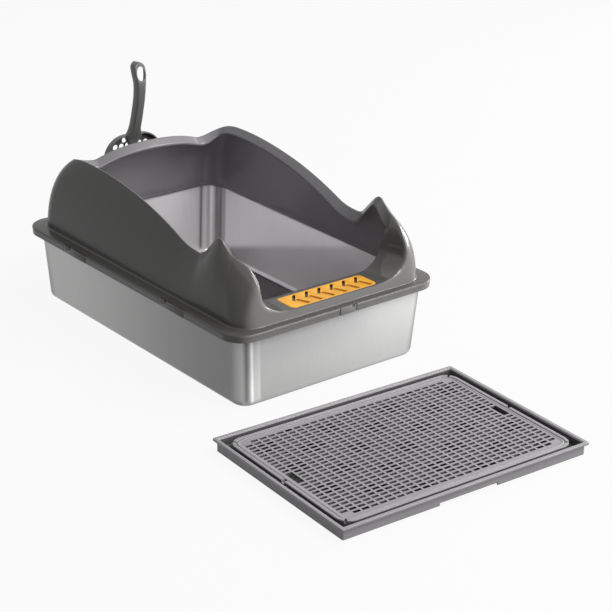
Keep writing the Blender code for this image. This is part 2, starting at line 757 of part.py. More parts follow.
def make_scoop(collection, cutters):
    plastic = make_material("scoop_plastic", (0.09, 0.088, 0.086), 0.45)
    half_fillet = BASKET_FILLET * ROUND_SHARE
    nudge = Vector((0.0, -half_fillet, 0.0))
    rings = [basket_outline(BASKET_FILLET, 0.0),
             [point + nudge for point in basket_outline(half_fillet, 0.0)],
             basket_outline(0.0, ROUND_SHARE),
             basket_outline(0.0, 1.0)]
    shape = bmesh.new()
    rows = [[shape.verts.new(point) for point in ring] for ring in rings]
    for lower, upper in zip(rows, rows[1:]):
        for k in range(len(lower) - 1):
            shape.faces.new((lower[k], upper[k], upper[k + 1], lower[k + 1]))
    shape.faces.new(rows[0])
    mesh = bpy.data.meshes.new("scoop")
    shape.to_mesh(mesh)
    shape.free()
    scoop = add_object("scoop", mesh, collection, plastic)
    back = HOLDER_BACK + HOLDER_DEPTH - HOLDER_WALL - HOLDER_SIDE_GAP - BASKET_WALL
    scoop.location = (SCOOP_X, back, SCOOP_TOE)
    add_modifier(scoop, "SOLIDIFY", thickness=BASKET_WALL, offset=1.0, use_even_offset=True)

    handle = make_cutter("scoop_handle", loft("scoop_handle", handle_rings()), cutters)
    hole_mesh = facing_prisms("sift_holes", [(x, 0.0, z) for x, z in sift_holes()],
                              SIFT_HOLE, SIFT_HOLE, BASKET_WALL * 4, SIFT_HOLE_SIDES)
    hang_up = BASKET_HEIGHT - HANDLE_ROOT + HANDLE_LENGTH * HANG_HOLE_SHARE
    hang_mesh = facing_prisms("hang_hole", [(0.0, -HANDLE_BOW, hang_up)],
                              HANG_HOLE_WIDTH, HANG_HOLE_LENGTH, HANDLE_THICKNESS * 3, HANG_HOLE_SIDES)
    holes = make_cutter("sift_holes", hole_mesh, cutters)
    hang = make_cutter("hang_hole", hang_mesh, cutters)
    for cutter, operation in ((handle, "UNION"), (holes, "DIFFERENCE"), (hang, "DIFFERENCE")):
        cutter.location = scoop.location
        cut(scoop, cutter, operation)
    smooth(mesh)
    return scoop


# The holder: a pocket for the scoop's toe that hooks over the flange at the back
def make_holder(collection, cutters):
    plastic = make_material("holder_plastic", (0.07, 0.069, 0.068), 0.50)
    half_x = BASKET_WIDTH / 2 + BASKET_WALL + HOLDER_SIDE_GAP + HOLDER_WALL
    half_y = HOLDER_DEPTH / 2
    bottom = FLANGE_TOP - HOLDER_FOOT_DROP
    middle = Vector((SCOOP_X, HOLDER_BACK + half_y, 0.0))
    rings = [[point + middle for point in rounded_rectangle(half_x, half_y, HOLDER_CORNER, z)]
             for z in (bottom, bottom + HOLDER_HEIGHT)]
    mesh = loft("scoop_holder", rings, cap_first=True, cap_last=False)
    holder = add_object("scoop_holder", mesh, collection, plastic)
    add_modifier(holder, "SOLIDIFY", thickness=HOLDER_WALL, offset=-1.0, use_even_offset=True)
    under = FLANGE_TOP + SEAT_GAP
    low = (SCOOP_X - HOOK_WIDTH / 2, HALF_LENGTH - HOOK_REACH, under)
    high = (SCOOP_X + HOOK_WIDTH / 2, HOLDER_BACK + HOLDER_WALL / 2, under + HOLDER_WALL)
    hook = box_mesh("holder_hook", [(low, high)])
    cut(holder, make_cutter("holder_hook", hook, cutters), "UNION")
    return holder


# The drain tray: a shallow base with a rim, a channel and a ring with a shelf
def tray_ring(inset, z, corner):
    return rounded_rectangle(TRAY_LENGTH / 2 - inset, TRAY_WIDTH / 2 - inset, corner, z, FILLET_STEPS)


def tray_insets():
    """Distances in from the rim's outer edge to each feature of the base."""
    skirt = TRAY_RIM_OVERHANG
    wall = TRAY_RIM_OVERHANG + TRAY_WALL
    ring = wall + TRAY_CHANNEL
    shelf = ring + RING_WIDTH
    floor = shelf + RING_SHELF
    return skirt, wall, ring, shelf, floor


def place_on_floor(piece, height=0.0):
    """Stand a tray piece in front of the box, its nearest corner a set distance off."""
    turn = math.radians(TRAY_TURN_DEGREES)
    reach = (TRAY_WIDTH * math.cos(turn) + TRAY_LENGTH * abs(math.sin(turn))) / 2
    piece.location = (TRAY_X, -HALF_LENGTH - TRAY_STANDOFF - reach, height)
    piece.rotation_euler = (0.0, 0.0, turn)


def make_tray_base(collection, cutters):
    plastic = make_material("grey_tray_plastic", (0.30, 0.29, 0.30), 0.50)
    skirt, wall, ring, shelf, floor = tray_insets()
    under = TRAY_HEIGHT - TRAY_RIM_THICKNESS
    deck = TRAY_UNDERSIDE + TRAY_FLOOR
    corner = TRAY_CORNER
    inner = RING_CORNER
    hollow = RING_CORNER - RING_WIDTH
    rings = [tray_ring(wall, TRAY_UNDERSIDE, corner), tray_ring(wall, 0.0, corner),
             tray_ring(skirt, 0.0, corner), tray_ring(skirt, under, corner),
             tray_ring(0.0, under, corner), tray_ring(0.0, TRAY_HEIGHT - EDGE_ROUND, corner),
             tray_ring(EDGE_ROUND, TRAY_HEIGHT, corner), tray_ring(TRAY_RIM, TRAY_HEIGHT, corner),
             tray_ring(wall, TRAY_HEIGHT - EDGE_ROUND, corner), tray_ring(wall, deck, corner),
             tray_ring(ring, deck, inner), tray_ring(ring, RING_HEIGHT - EDGE_ROUND, inner),
             tray_ring(ring + EDGE_ROUND, RING_HEIGHT, inner), tray_ring(shelf, RING_HEIGHT, hollow),
             tray_ring(shelf, SHELF_HEIGHT, hollow), tray_ring(floor, SHELF_HEIGHT, hollow),
             tray_ring(floor, deck, hollow)]
    mesh = loft("tray_base", rings)
    base = add_object("tray_base", mesh, collection, plastic)
    place_on_floor(base)
    half_x, half_y = TRAY_LENGTH / 2, TRAY_WIDTH / 2
    high = TRAY_HEIGHT + CUT_OVERRUN
    ring_high = RING_HEIGHT + CUT_OVERRUN
    boxes = []
    for side in (-1, 1):
        y = sorted((side * (half_y - wall - EDGE_ROUND), side * (half_y + CUT_OVERRUN)))
        boxes.append(((-NOTCH_LENGTH / 2, y[0], -CUT_OVERRUN), (NOTCH_LENGTH / 2, y[1], NOTCH_HEIGHT)))
        x = sorted((side * (half_x - ring + EDGE_ROUND), side * (half_x - shelf - EDGE_ROUND)))
        boxes.append(((x[0], -RING_GAP / 2, SHELF_HEIGHT), (x[1], RING_GAP / 2, ring_high)))
    cutter = make_cutter("tray_notches", box_mesh("tray_notches", boxes), cutters)
    place_on_floor(cutter)
    cut(base, cutter)
    return base


def slot_outline(centre_x, centre_y, width, height):
    half_x, half_y = width / 2, height / 2
    return [Vector((centre_x - half_x, centre_y - half_y)), Vector((centre_x + half_x, centre_y - half_y)),
            Vector((centre_x + half_x, centre_y + half_y)), Vector((centre_x - half_x, centre_y + half_y))]


def grate_slots(half_x, half_y):
    """Slot outlines in rows and columns, with one finger slot in the middle of each end."""
    span_x = 2 * (half_x - GRATE_BORDER_SHORT)
    span_y = 2 * (half_y - GRATE_BORDER_LONG)
    pitch_x = (span_x + GRATE_BAR_X) / GRATE_COLUMNS
    pitch_y = (span_y + GRATE_BAR_Y) / GRATE_ROWS
    slots = []
    for column in range(GRATE_COLUMNS):
        x = (column - (GRATE_COLUMNS - 1) / 2) * pitch_x
        end_column = column in (0, GRATE_COLUMNS - 1)
        for row in range(GRATE_ROWS):
            y = (row - (GRATE_ROWS - 1) / 2) * pitch_y
            if not end_column or abs(y) > (FINGER_SLOT_LENGTH + pitch_y) / 2:
                slots.append(slot_outline(x, y, pitch_x - GRATE_BAR_X, pitch_y - GRATE_BAR_Y))
        if end_column:
            slots.append(slot_outline(x, 0.0, FINGER_SLOT_WIDTH, FINGER_SLOT_LENGTH))
    return slots


def make_grate(collection):
    plastic = make_material("grey_grate_plastic", (0.33, 0.32, 0.33), 0.50)
    shelf = tray_insets()[3]
    half_x = TRAY_LENGTH / 2 - shelf - GRATE_GAP
    half_y = TRAY_WIDTH / 2 - shelf - GRATE_GAP
    edge = rounded_rectangle(half_x, half_y, RING_CORNER - RING_WIDTH - GRATE_GAP, 0.0, FILLET_STEPS)
    mesh = plate_mesh("tray_grate", [edge] + grate_slots(half_x, half_y), GRATE_THICKNESS)
    grate = add_object("tray_grate", mesh, collection, plastic)
    place_on_floor(grate, SHELF_HEIGHT + SEAT_GAP)
    return grate


def main():
    clear_scene()
    parts = make_collection(COLLECTION_NAME)
    cutters = make_collection("cutters")
    make_pan(parts)
    make_shield(parts, cutters)
    make_tread(parts, cutters)
    make_clips(parts)
    make_scoop(parts, cutters)
    make_holder(parts, cutters)
    make_tray_base(parts, cutters)
    make_grate(parts)


main()
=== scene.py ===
from math import atan2, copysign, cos, hypot, pi, radians, sin, sqrt

import bmesh
import bpy
from mathutils import Matrix, Vector


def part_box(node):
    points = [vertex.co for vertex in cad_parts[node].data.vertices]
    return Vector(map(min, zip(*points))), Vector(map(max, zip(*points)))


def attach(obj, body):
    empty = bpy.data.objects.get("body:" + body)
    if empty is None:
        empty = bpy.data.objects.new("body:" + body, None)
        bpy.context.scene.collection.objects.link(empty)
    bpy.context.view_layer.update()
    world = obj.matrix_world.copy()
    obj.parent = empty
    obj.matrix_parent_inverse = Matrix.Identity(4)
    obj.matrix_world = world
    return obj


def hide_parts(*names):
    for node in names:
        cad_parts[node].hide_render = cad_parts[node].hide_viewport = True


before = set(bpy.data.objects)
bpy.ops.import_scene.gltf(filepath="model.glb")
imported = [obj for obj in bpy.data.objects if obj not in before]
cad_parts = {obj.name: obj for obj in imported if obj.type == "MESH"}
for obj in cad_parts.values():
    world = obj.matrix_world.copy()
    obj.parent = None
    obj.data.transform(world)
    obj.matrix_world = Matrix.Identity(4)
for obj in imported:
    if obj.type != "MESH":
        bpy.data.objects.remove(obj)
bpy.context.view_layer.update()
print("frame loaded:", len(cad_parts), "nodes")


# Camera, set as the photograph was taken: 612 by 612, a long lens from the front left
camera = {
    "azimuth": -39.1214,
    "elevation": 23.1824,
    "roll": 1.0986,
    "distance": 2.9873,
    "right": 0.1354,
    "up": 0.0273,
    "focal": 1785.6543,  # in pixels of the photograph
    "imageSide": 612,
    "sensor": 36.0,
    "farthest": 60.0,
}


def makeCamera():
    azimuth, elevation, roll = (radians(camera[key]) for key in ("azimuth", "elevation", "roll"))
    turn = (Matrix.Rotation(azimuth, 4, "Z") @ Matrix.Rotation(pi / 2 - elevation, 4, "X")
            @ Matrix.Rotation(roll, 4, "Z"))
    bpy.ops.object.camera_add()
    eye = latest("photoCamera")
    eye.matrix_world = turn @ Matrix.Translation((camera["right"], camera["up"], camera["distance"]))
    eye.data.sensor_width = camera["sensor"]
    eye.data.lens = camera["focal"] / camera["imageSide"] * camera["sensor"]
    eye.data.clip_end = camera["farthest"]
    bpy.context.scene.camera = eye


# Small helpers, used by every piece
def deselect():
    if bpy.context.mode != "OBJECT":
        bpy.ops.object.mode_set(mode="OBJECT")
    bpy.ops.object.select_all(action="DESELECT")


def pick(piece):
    deselect()
    piece.select_set(True)
    bpy.context.view_layer.objects.active = piece


def latest(name):
    # names what the last operator made
    bpy.context.object.name = name
    return bpy.context.object


def editMesh(piece, operator, kind="VERT", test=None, **settings):
    # runs an edit mode operator on what passes the test, or on all where there is no test
    pick(piece)
    bpy.ops.object.mode_set(mode="EDIT")
    bpy.ops.mesh.select_mode(type=kind)
    bpy.ops.mesh.select_all(action="DESELECT" if test else "SELECT")
    if test:
        shape = bmesh.from_edit_mesh(piece.data)
        items = {"VERT": shape.verts, "EDGE": shape.edges, "FACE": shape.faces}[kind]
        items.index_update()
        for item in items:
            item.select = bool(test(item))
        shape.select_flush_mode()
        bmesh.update_edit_mesh(piece.data)
    operator(**settings)
    bpy.ops.object.mode_set(mode="OBJECT")


def middleOf(edge):
    return (edge.verts[0].co + edge.verts[1].co) / 2


def bevelEdges(piece, test, radius, steps):
    editMesh(piece, bpy.ops.mesh.bevel, "EDGE", test, offset=radius, offset_type="OFFSET",
             segments=steps, affect="EDGES")


def roundUprights(piece, radius, steps):
    bevelEdges(piece, lambda edge: abs((edge.verts[0].co - edge.verts[1].co).normalized().z) > 0.9,
               radius, steps)


def mergeDoubles(piece):
    editMesh(piece, bpy.ops.mesh.remove_doubles, threshold=0.00001)


def alignNormals(piece, outward=None, key=lambda face: face.area):
    # turns all faces the same way round, with the key face's normal towards outward
    editMesh(piece, bpy.ops.mesh.normals_make_consistent, inside=False)
    if outward and max(piece.data.polygons, key=key).normal.dot(Vector(outward)) < 0:
        piece.data.flip_normals()


def modify(piece, kind, **settings):
    # adds a modifier and applies it
    modifier = piece.modifiers.new(kind.title(), kind)
    for key, value in settings.items():
        setattr(modifier, key, value)
    pick(piece)
    bpy.ops.object.modifier_apply(modifier=modifier.name)


def bevelSharp(piece, width, angle=30.0, segments=2):
    modify(piece, "BEVEL", width=width, segments=segments, limit_method="ANGLE",
           angle_limit=radians(angle))


def settle(piece):
    # the place, turn and size go into the mesh, and the object to the origin
    pick(piece)
    bpy.ops.object.transform_apply(location=True, rotation=True, scale=True)


def turnTo(piece, angle, place=(0.0, 0.0, 0.0)):
    piece.rotation_euler.z = angle
    piece.location = place
    settle(piece)
    return piece


def faceOut(piece):
    shape = bmesh.new()
    shape.from_mesh(piece.data)
    if shape.calc_volume(signed=True) < 0:
        bmesh.ops.reverse_faces(shape, faces=shape.faces)
    shape.to_mesh(piece.data)
    shape.free()


def markFront(piece):
    # how much each corner of a face looks to the front, for the painted front light
    facing = piece.data.attributes.new("facesFront", "FLOAT", "CORNER")
    facing.data.foreach_set("value", [-normal.vector.y for normal in piece.data.corner_normals])


def dress(piece, *materials):
    for material in materials:
        piece.data.materials.append(material)


def finishPiece(piece, body, node, material=None, angle=35.0):
    settle(piece)
    bpy.ops.object.shade_smooth_by_angle(angle=radians(angle))
    if material:
        piece.data.materials.clear()
        dress(piece, material)
    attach(piece, body)
    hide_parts(node)
    print(node + ":", len(piece.data.polygons), "faces")


def bendGrid(name, columns, rows, placeAt):
    # a grid whose vertices are bent to a shape, one row after the other
    deselect()
    bpy.ops.mesh.primitive_grid_add(x_subdivisions=columns - 1, y_subdivisions=rows - 1, size=1)
    piece = latest(name)
    piece.data.name = name
    for index, vertex in enumerate(piece.data.vertices):
        vertex.co = placeAt(index % columns, index // columns)
    return piece


def addBox(name, low, high):
    deselect()
    low, high = Vector(low), Vector(high)
    bpy.ops.mesh.primitive_cube_add(size=1, location=(low + high) / 2)
    box = latest(name)
    box.scale = high - low
    settle(box)
    return box


def cutWith(piece, cutter, operation="DIFFERENCE"):
    modify(piece, "BOOLEAN", object=cutter, operation=operation, solver="EXACT")
    bpy.data.objects.remove(cutter, do_unlink=True)


def joinPieces(pieces, name):
    deselect()
    for piece in pieces:
        piece.select_set(True)
    bpy.context.view_layer.objects.active = pieces[0]
    bpy.ops.object.join()
    return latest(name)


def mix(a, b, share):
    return a + (b - a) * share


def ease(low, high, value):
    share = min(max((value - low) / (high - low), 0.0), 1.0)
    return share * share * (3.0 - 2.0 * share)


def readTable(table, place):
    # a smooth curve through the rows, read at a place; the first column is the place
    last = len(table) - 1
    row = 0
    while row < last - 1 and place > table[row + 1][0]:
        row += 1
    start, end = table[row], table[row + 1]
    before, after = table[max(row - 1, 0)], table[min(row + 2, last)]
    step = end[0] - start[0]
    share = (place - start[0]) / step
    square, cube = share ** 2, share ** 3
    values = []
    for k in range(1, len(start)):
        slopeStart = (end[k] - before[k]) / (end[0] - before[0]) * step
        slopeEnd = (after[k] - start[k]) / (after[0] - start[0]) * step
        values.append((2 * cube - 3 * square + 1) * start[k] + (cube - 2 * square + share) * slopeStart
                      + (3 * square - 2 * cube) * end[k] + (cube - square) * slopeEnd)
    return values


def softCorner(before, corner, after, reach, steps, limit=0.48):
    # a small round in place of a sharp corner, up to limit of the way to the next points
    toStart, toEnd = before - corner, after - corner
    start = corner + toStart.normalized() * min(reach, toStart.length * limit)
    end = corner + toEnd.normalized() * min(reach, toEnd.length * limit)
    shares = [step / steps for step in range(steps + 1)]
    return [start.lerp(corner, share).lerp(corner.lerp(end, share), share) for share in shares]


def roundOutline(outline, closed=True):
    # each entry is a point, how far its round reaches, the round's steps and perhaps its limit
    points = []
    count = len(outline)
    for k, (corner, reach, steps, *limit) in enumerate(outline):
        ending = not closed and k in (0, count - 1)
        if steps == 0 or ending:
            points.append(corner)
        else:
            after = outline[(k + 1) % count][0]
            points += softCorner(outline[k - 1][0], corner, after, reach, steps, *limit)
    return points


def quarterRound(radius, steps):
    # how far the points of a quarter round lie from the two sides of its corner
    angles = [radians(90 * step / steps) for step in range(steps + 1)]
    return [(radius * (1 - sin(angle)), radius * (1 - cos(angle))) for angle in angles]


def roundedLoop(halfX, halfY, radius, z, steps):
    # a rounded rectangle seen from above, counter-clockwise, from the +X side's corner
    points = []
    for sideX, sideY, start in ((1, 1, 0), (-1, 1, 90), (-1, -1, 180), (1, -1, 270)):
        for step in range(steps + 1):
            angle = radians(start + 90 * step / steps)
            points.append(Vector((sideX * (halfX - radius) + radius * cos(angle),
                                  sideY * (halfY - radius) + radius * sin(angle), z)))
    return points


def wrapLoops(name, loops):
    # a skin through loops of equal point counts
    around = len(loops[0])
    piece = bendGrid(name, around + 1, len(loops), lambda i, j: loops[j][i % around])
    mergeDoubles(piece)
    return piece


def solidLoops(name, loops):
    piece = wrapLoops(name, loops)
    editMesh(piece, bpy.ops.mesh.fill_holes, sides=0)
    alignNormals(piece)
    return piece


def solidProfile(name, halfX, halfY, steps, profile):
    # a row has an inset, a height and a corner radius, then a round's reach and its steps
    outline = [(Vector(row[:3]), *row[3:]) for row in profile]
    return solidLoops(name, [roundedLoop(halfX - p.x, halfY - p.x, p.z, p.y, steps)
                             for p in roundOutline(outline, False)])


# Shader maths: a Wire is a socket that can be added, subtracted and multiplied
class Wire:
    def __init__(self, tree, socket=None):
        self.tree = tree
        self.socket = socket

    def node(self, kind, settings=None, inputs=None, output=0):
        made = self.tree.nodes.new(kind)
        for key, value in (settings or {}).items():
            if key == "stops":
                ramp = made.color_ramp
                while len(ramp.elements) < len(value):
                    ramp.elements.new(0.5)
                for element, (position, colour) in zip(ramp.elements, value):
                    element.position = position
                    element.color = colour
            else:
                setattr(made, key, value)
        for key, value in (inputs or {}).items():
            if isinstance(value, Wire):
                self.tree.links.new(value.socket, made.inputs[key])
            else:
                made.inputs[key].default_value = value
        return Wire(self.tree, made.outputs[output])

    def maths(self, operation, *values):
        return self.node("ShaderNodeMath", {"operation": operation}, dict(enumerate(values)))

    def __add__(self, other):
        return self.maths("ADD", self, other)

    def __sub__(self, other):
        return self.maths("SUBTRACT", self, other)

    def __rsub__(self, other):
        return self.maths("SUBTRACT", other, self)

    def __mul__(self, other):
        return self.maths("MULTIPLY", self, other)

    __radd__ = __add__
    __rmul__ = __mul__

    def atLeast(self, other):
        return self.maths("MAXIMUM", self, other)

    def band(self, low, high, start=0.0, end=1.0):
        # rises smoothly from start to end between low and high
        return self.node("ShaderNodeMapRange", {"interpolation_type": "SMOOTHSTEP"},
                         {"Value": self, "From Min": low, "From Max": high, "To Min": start, "To Max": end})

    def split(self):
        outputs = self.node("ShaderNodeSeparateXYZ", None, {0: self}).socket.node.outputs
        return [Wire(self.tree, output) for output in outputs]


class Finish:
    # a Principled material with its Object coordinates ready to use
    def __init__(self, name, roughness, metallic=0.0, **plain):
        self.material = bpy.data.materials.new(name)
        self.material.use_nodes = True
        self.tree = self.material.node_tree
        self.shader = self.tree.nodes["Principled BSDF"]
        for key, value in {"Roughness": roughness, "Metallic": metallic, **plain}.items():
            self.shader.inputs[key].default_value = value
        self.place = Wire(self.tree).node("ShaderNodeTexCoord", output=3)
        self.x, self.y, self.z = self.place.split()

    def noise(self, scale, detail=2.0, stretch=(1.0, 1.0, 1.0), rough=0.5):
        moved = self.place.node("ShaderNodeMapping", None, {"Vector": self.place, "Scale": stretch})
        return self.place.node("ShaderNodeTexNoise", None,
                               {"Vector": moved, "Scale": scale, "Detail": detail, "Roughness": rough})

    def blend(self, share, first, second, way="MIX"):
        return self.place.node("ShaderNodeMix", {"data_type": "RGBA", "blend_type": way},
                               {"Factor": share, 6: first, 7: second}, 2)

    def feed(self, socket, wire):
        self.tree.links.new(wire.socket, self.shader.inputs[socket])

    def bump(self, height, strength):
        self.feed("Normal", self.place.node("ShaderNodeBump", None, {
            "Height": height, "Strength": strength, "Distance": gloss["grainHeight"]}))

    def cloudy(self, colour, scale, dark, light):
        # soft clouds, and the colour darker and lighter in them
        clouds = self.noise(scale)
        return clouds, self.blend(clouds, paint(dark, colour), paint(light, colour))

    def grain(self, strength, spread, roughness):
        # fine grain, in the bump and in the gloss
        fine = self.noise(gloss["grainScale"])
        self.feed("Roughness", (fine - 0.5) * spread + roughness)
        self.bump(fine, strength)


def paint(level, tint=(1.0, 1.0, 1.0)):
    return (*(level * share for share in tint), 1.0)


# Moulded plastic: a fine grain and a soft cloudiness under a thin gloss
gloss = {
    "sheen": 0.28,
    "coatRoughness": 0.15,
    "cloudScale": 9.0,
    "cloudDark": 0.94,
    "cloudLight": 1.06,
    "cloudGloss": 0.10,  # how far the roughness follows the clouds
    "grain": 0.12,
    "grainGloss": 0.12,
    "grainScale": 600.0,
    "grainHeight": 0.0002,
    "frontFade": (-0.27, -0.10),  # along Y, where the crest band's painted light gives way to the plain charcoal at the front
    "facingFade": (0.66, 0.97),  # of facesFront, where the painted front light comes in
}


def mouldedPlastic(name, colour, roughness, atFront=None, facing=None, coat=gloss["sheen"]):
    # atFront is the tone at the box's front end, facing the lighter tone of what looks to the front, which
    # is painted front light
    finish = Finish(name, roughness, **{"Specular IOR Level": gloss["sheen"] / 2,
                                        "Coat Weight": coat,
                                        "Coat Roughness": gloss["coatRoughness"]})
    clouds, tone = finish.cloudy(colour, gloss["cloudScale"], gloss["cloudDark"],
                                 gloss["cloudLight"])
    # the crest band's painted light fades to the plain tone at the box's front end
    if atFront:
        tone = finish.blend(finish.y.band(*gloss["frontFade"]), paint(1.0, atFront), tone)
    # painted front light: what looks to the front takes the lighter facing tone
    if facing:
        share = finish.place.node("ShaderNodeAttribute", {"attribute_name": "facesFront"}, output=2)
        tone = finish.blend(share.band(*gloss["facingFade"]), tone, paint(1.0, facing))
    finish.feed("Base Color", tone)
    finish.grain(gloss["grain"], gloss["grainGloss"],
                 (clouds - 0.5) * gloss["cloudGloss"] + roughness)
    return finish.material


# Pan of pressed steel
pan = {
    "sheet": 0.001,
    "draft": 0.082,
    "endInset": 0.0205,
    "sideInset": 0.0265,
    "footCorner": 0.024,
    "topCorner": 0.032,
    "footFillet": 0.009,
    "rimFillet": 0.002,
    "rimRound": 0.0015,
    "lip": 0.0035,
    "cornerSteps": 20,
    "filletSteps": 7,
}
brushAndPaintedLight = {
    "lineScale": 220.0,
    "hairScale": 900.0,
    "grain": 0.06,
    "streaks": (0.96, 1.04),
    "bendLow": (0.0018, 0.0034),  # the heights where the foot bend's painted highlight comes and goes
    "bendHigh": (0.0085, 0.0055),
    "shadeSlope": 0.31,  # the slanting line under which the long inside walls get painted shade
    "shadeHeight": 0.093,
    "shadeLeft": (0.70, 0.40),  # the share of their tone that the painted shade leaves there, front and back
    "footLeft": 0.72,  # and at the foot of the short outside walls, also painted shade
    "cornerShade": 0.08,  # painted shade on the calm front right corner's dark side
}
# the steel's tones are painted reflections, light and shade; the inside's are lighter than the outside's
steelLooks = {
    "steelOutside": {
        "roughness": 0.34,
        "metal": 0.5,
        "tint": (1.0, 0.995, 0.99),
        "corner": 0.036,
        "across": (0.49, 0.63),  # the short walls' tones, from left to right, painted light
        "along": (0.19, 0.46),  # the long walls' tones, from front to back, painted light
        "floor": (0.20, 0.0005, 0.0075),  # the floor's darker tone, painted shade, and the heights where it ends
        "bend": (0.30, 0.0),  # the foot bend's painted highlight, its tone and its share
        "calm": 1.0,  # takes the painted reflection bands off the front right corner
        # painted reflections round a corner, from the long wall to the short one
        "stops": ((0.0, 0.17), (0.14, 0.21), (0.33, 0.32), (0.50, 0.40), (0.60, 0.17), (0.67, 0.40),
                  (0.74, 1.0), (0.79, 0.55), (0.86, 0.52), (1.0, 0.60)),
    },
    "steelInside": {
        "roughness": 0.25,
        "metal": 0.3,
        "tint": (1.0, 0.970, 0.992),
        "corner": 0.044,
        "across": (0.54, 0.86),
        "along": (0.75, 1.0),
        "floor": (0.25, 0.0016, 0.0034),
        "bend": (0.95, 0.9),
        "calm": 0.0,
        "stops": ((0.0, 0.85), (0.06, 0.60), (0.14, 0.62), (0.22, 0.28), (0.30, 0.34), (0.37, 0.26),
                  (0.43, 0.60), (0.49, 1.0), (0.56, 0.66), (0.62, 1.0), (0.69, 0.85), (0.74, 0.20),
                  (0.81, 0.85), (1.0, 0.88)),
    },
}


def steelWithPaintedLight(name):
    # brushed sheet: long fine lines, under painted reflections, highlights and shade: bands round the
    # corners, tones that change along the walls, a darker floor and a bright foot bend
    look = steelLooks[name]
    inner = name == "steelInside"
    finish = Finish(name, look["roughness"], look["metal"])
    x, y, z = finish.x, finish.y, finish.z
    lines = finish.noise(brushAndPaintedLight["lineScale"], 3.0, (1.0, 1.0, 0.015), 0.6)
    hair = finish.noise(brushAndPaintedLight["hairScale"], 2.0, (1.0, 1.0, 0.01))

    def tone(level):
        return paint(level, look["tint"])

    spread = z * pan["draft"] - look["corner"]
    pastX = x.maths("ABSOLUTE", x) - (shieldHigh.x - pan["sideInset"]) - spread
    pastY = y.maths("ABSOLUTE", y) - (shieldHigh.y - pan["endInset"]) - spread
    turn = x.maths("ARCTAN2", pastY.atLeast(0.0), pastX.atLeast(0.0001)) * (2 / pi)
    # painted light: each wall's tone changes from one end to the other
    end = finish.blend(x.band(-0.17, 0.17), *map(tone, look["across"]))
    side = finish.blend(y.band(-0.27, 0.27), *map(tone, look["along"]))
    # painted reflections: bands round each corner
    ramp = finish.place.node("ShaderNodeValToRGB", {"stops": [(at, tone(v)) for at, v in look["stops"]]},
                             {"Fac": turn})
    if inner:
        # painted shade under a slanting line on the long inside walls
        above = (z + y * brushAndPaintedLight["shadeSlope"] - brushAndPaintedLight["shadeHeight"]).band(-0.006, 0.008)
        under = y.band(0.08, 0.25, *brushAndPaintedLight["shadeLeft"])
        side = finish.blend(above * (1 - under) + under, paint(0.0), side)
    else:
        # painted shade at the foot of the short outside walls
        end = finish.blend(z.band(-0.01, 0.12, brushAndPaintedLight["footLeft"], 1.0), paint(0.0), end)
        ramp = finish.blend(turn.band(0.0, 0.33), side, ramp)
    plain = finish.blend((pastX - pastY).band(-0.002, 0.002), end, side)
    inCorner = pastX.band(0.0, 0.001) * pastY.band(0.0, 0.001) * z.band(0.004, 0.014)
    # painted shade on the front right corner's dark side, in place of the bands outside
    quiet = x.band(0.0, 0.1, 0.0, look["calm"]) * y.band(0.1, 0.0)
    shadedCorner = finish.blend(turn.band(0.50, 0.85), paint(brushAndPaintedLight["cornerShade"]), end)
    colour = finish.blend(inCorner, plain, finish.blend(quiet, ramp, shadedCorner))
    floorTone, floorLow, floorHigh = look["floor"]
    # painted shade: a darker floor
    colour = finish.blend(z.band(floorLow, floorHigh), tone(floorTone), colour)
    bendTone, bendShare = look["bend"]
    # painted highlight along the foot bend inside
    nearFoot = z.band(*brushAndPaintedLight["bendLow"]) * z.band(*brushAndPaintedLight["bendHigh"])
    colour = finish.blend(nearFoot * bendShare, colour, tone(bendTone))
    streak = finish.blend(lines, *map(paint, brushAndPaintedLight["streaks"]))
    finish.feed("Base Color", finish.blend(1.0, colour, streak, "MULTIPLY"))
    if inner:
        finish.feed("Metallic", z.band(floorLow, floorHigh, 1.0, look["metal"]))
    finish.feed("Roughness", (lines - 0.5) * 0.08 + (hair - 0.5) * 0.05 + look["roughness"])
    finish.bump(hair * 0.5 + lines * 0.5, brushAndPaintedLight["grain"])
    return finish.material


def makePan():
    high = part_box("steel_pan")[1]
    sheet, draft = pan["sheet"], pan["draft"]
    underRim = high.z - sheet
    footX, footY = shieldHigh.x - pan["sideInset"], shieldHigh.y - pan["endInset"]
    rows = []  # half sizes, height and corner radius of each loop
    for inset, z in quarterRound(pan["footFillet"], pan["filletSteps"]):
        wider = draft * z - inset
        rows.append((footX + wider, footY + wider, z, pan["footCorner"] - inset))
    for share in (0.33, 0.66, 1.0):
        z = mix(pan["footFillet"], underRim - pan["rimFillet"], share)
        rows.append((footX + draft * z, footY + draft * z, z,
                     mix(pan["footCorner"], pan["topCorner"], share)))
    topX, topY = rows[-1][:2]
    for drop, wider in quarterRound(pan["rimFillet"], 4)[1:]:
        rows.append((topX + wider, topY + wider, underRim - drop, pan["topCorner"] + wider))
    rimX, rimY = high.x - sheet, high.y - sheet
    rimCorner = shield["flangeCorner"] - (shieldHigh.x - high.x) - sheet
    for inset, drop in quarterRound(pan["rimRound"], 3):
        rows.append((rimX - inset, rimY - inset, underRim - drop, rimCorner - inset))
    rows.append((rimX, rimY, underRim - pan["lip"], rimCorner))
    loops = [roundedLoop(x, y, radius, z, pan["cornerSteps"]) for x, y, z, radius in rows]
    piece = wrapLoops("panShell", loops)
    editMesh(piece, bpy.ops.mesh.edge_face_add, "EDGE",
             lambda edge: edge.is_boundary and middleOf(edge).z < sheet)
    alignNormals(piece, (1, 0, 0), lambda face: face.center.x if face.center.z < 0.1 else 0)
    dress(piece, *map(steelWithPaintedLight, steelLooks))
    modify(piece, "SOLIDIFY", thickness=sheet, offset=-1.0, use_even_offset=True,
           material_offset=1, material_offset_rim=0)
    finishPiece(piece, "pan", "steel_pan", angle=30.0)


